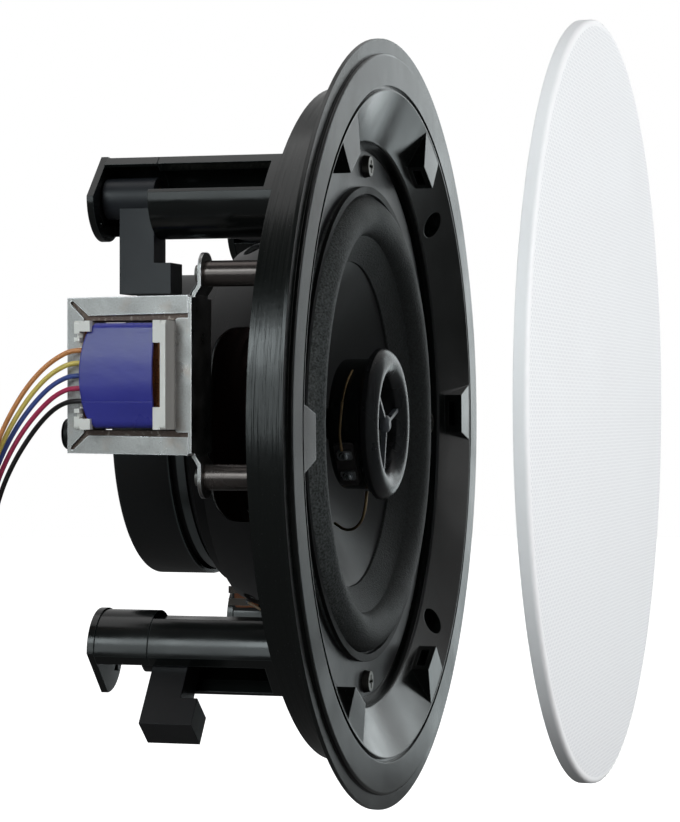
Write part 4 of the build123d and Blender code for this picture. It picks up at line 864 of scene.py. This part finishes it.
# %% [markdown]
# Black gloss lives from what it mirrors, so each lamp is a soft box at the place where the
# speaker shows a highlight. Two small boxes to the left of the camera draw the streaks on
# the wall, the towers and the magnet cover. One box in front fills the dish and one above
# lights the top. Two tall narrow boxes on the far side graze the ring and the funnel. The
# pale pieces need more light than the black ones can take, so near_box reaches only them,
# the leads, the tape and the foam, and grille_box only the grille.

# %% Soft boxes
COOL = (0.90, 1.0, 1.02)
PALE_NODES = (
    "grille", "transformer_frame", "transformer_strap", "transformer_bobbin",
    "transformer_core", "standoff_posts", "terminal_strip", "top_plate",
)


def soft_box(name, place, aim, width, height, power, tint=(1, 1, 1)):
    """An area light that faces a point."""
    data = bpy.data.lights.new(name, "AREA")
    data.shape = "RECTANGLE"
    data.size = width
    data.size_y = height
    data.energy = power
    data.color = tint
    lamp = bpy.data.objects.new(name, data)
    lamp.location = place
    lamp.rotation_euler = (Vector(aim) - Vector(place)).to_track_quat("-Z", "Y").to_euler()
    bpy.context.collection.objects.link(lamp)
    return lamp


def light_only(lamp, pieces):
    """Let a lamp reach these pieces and nothing else."""
    lit = bpy.data.collections.new(f"lit_by_{lamp.name}")
    for piece in pieces:
        lit.objects.link(piece)
    lamp.light_linking.receiver_collection = lit


soft_box("side_box", (-0.92, 0.30, 0.42), (0, 0.02, 0.0), 0.34, 0.24, 1.5, COOL)
soft_box("low_side_box", (-0.97, 0.29, 0.10), (0, 0.02, 0.0), 0.34, 0.36, 0.75, COOL)
soft_box("front_box", (0.15, -1.1, 0.35), (0, 0, 0), 0.8, 0.8, 3.9)
soft_box("top_box", (0.0, 0.15, 1.1), (0, 0, 0), 0.8, 0.8, 1.6)
soft_box("rim_box", (0.9, -0.13, 0.0), (0, 0, 0), 0.2, 1.0, 0.75, COOL)
soft_box("funnel_box", (0.9, -0.46, 0.0), (0, 0, 0), 0.2, 1.1, 1.1, COOL)
near_box = soft_box("near_box", (-0.9, -0.55, 0.25), (-0.05, 0.0, 0.0), 0.6, 0.6, 2.6)
light_only(near_box, [*(nodes[name] for name in PALE_NODES), wrap, last_turn,
                      *leads.values(), *foam_sectors])
grille_box = soft_box("grille_box", (-0.5, -1.25, 0.2), (0.0, -0.06, 0.0), 0.8, 0.8, 8.0)
light_only(grille_box, [nodes["grille"]])
print("soft boxes:", len(bpy.data.lights))

# %% [markdown]
# The room is white to the camera. To every other ray it is dark on the camera's side and
# grows pale along the view, so that the speaker's black faces mirror a dark room and its
# edges a bright one.

# %% Room
ROOM_DARK, ROOM_PALE = 0.016, 0.45
world = bpy.data.worlds.new("pale_room")
bpy.context.scene.world = world
world.use_nodes = True
tree = world.node_tree
along = add_node(tree, "VectorMath", {1: VIEW_LINE}, operation="DOT_PRODUCT")
tree.links.new(add_node(tree, "TexCoord").outputs["Generated"], along.inputs[0])
strength = add_node(tree, "Mix", {"B": 1.0}, data_type="FLOAT")
tree.links.new(add_node(tree, "LightPath").outputs["Is Camera Ray"],
               strength.inputs["Factor"])
tree.links.new(map_range(tree, along.outputs["Value"], -0.6, 0.7, ROOM_DARK, ROOM_PALE),
               strength.inputs["A"])
back = tree.nodes["Background"]
back.inputs["Color"].default_value = (1, 1, 1, 1)
tree.links.new(strength.outputs["Result"], back.inputs["Strength"])
bpy.context.scene.view_settings.view_transform = "Standard"
print("room from", ROOM_DARK, "to", ROOM_PALE)
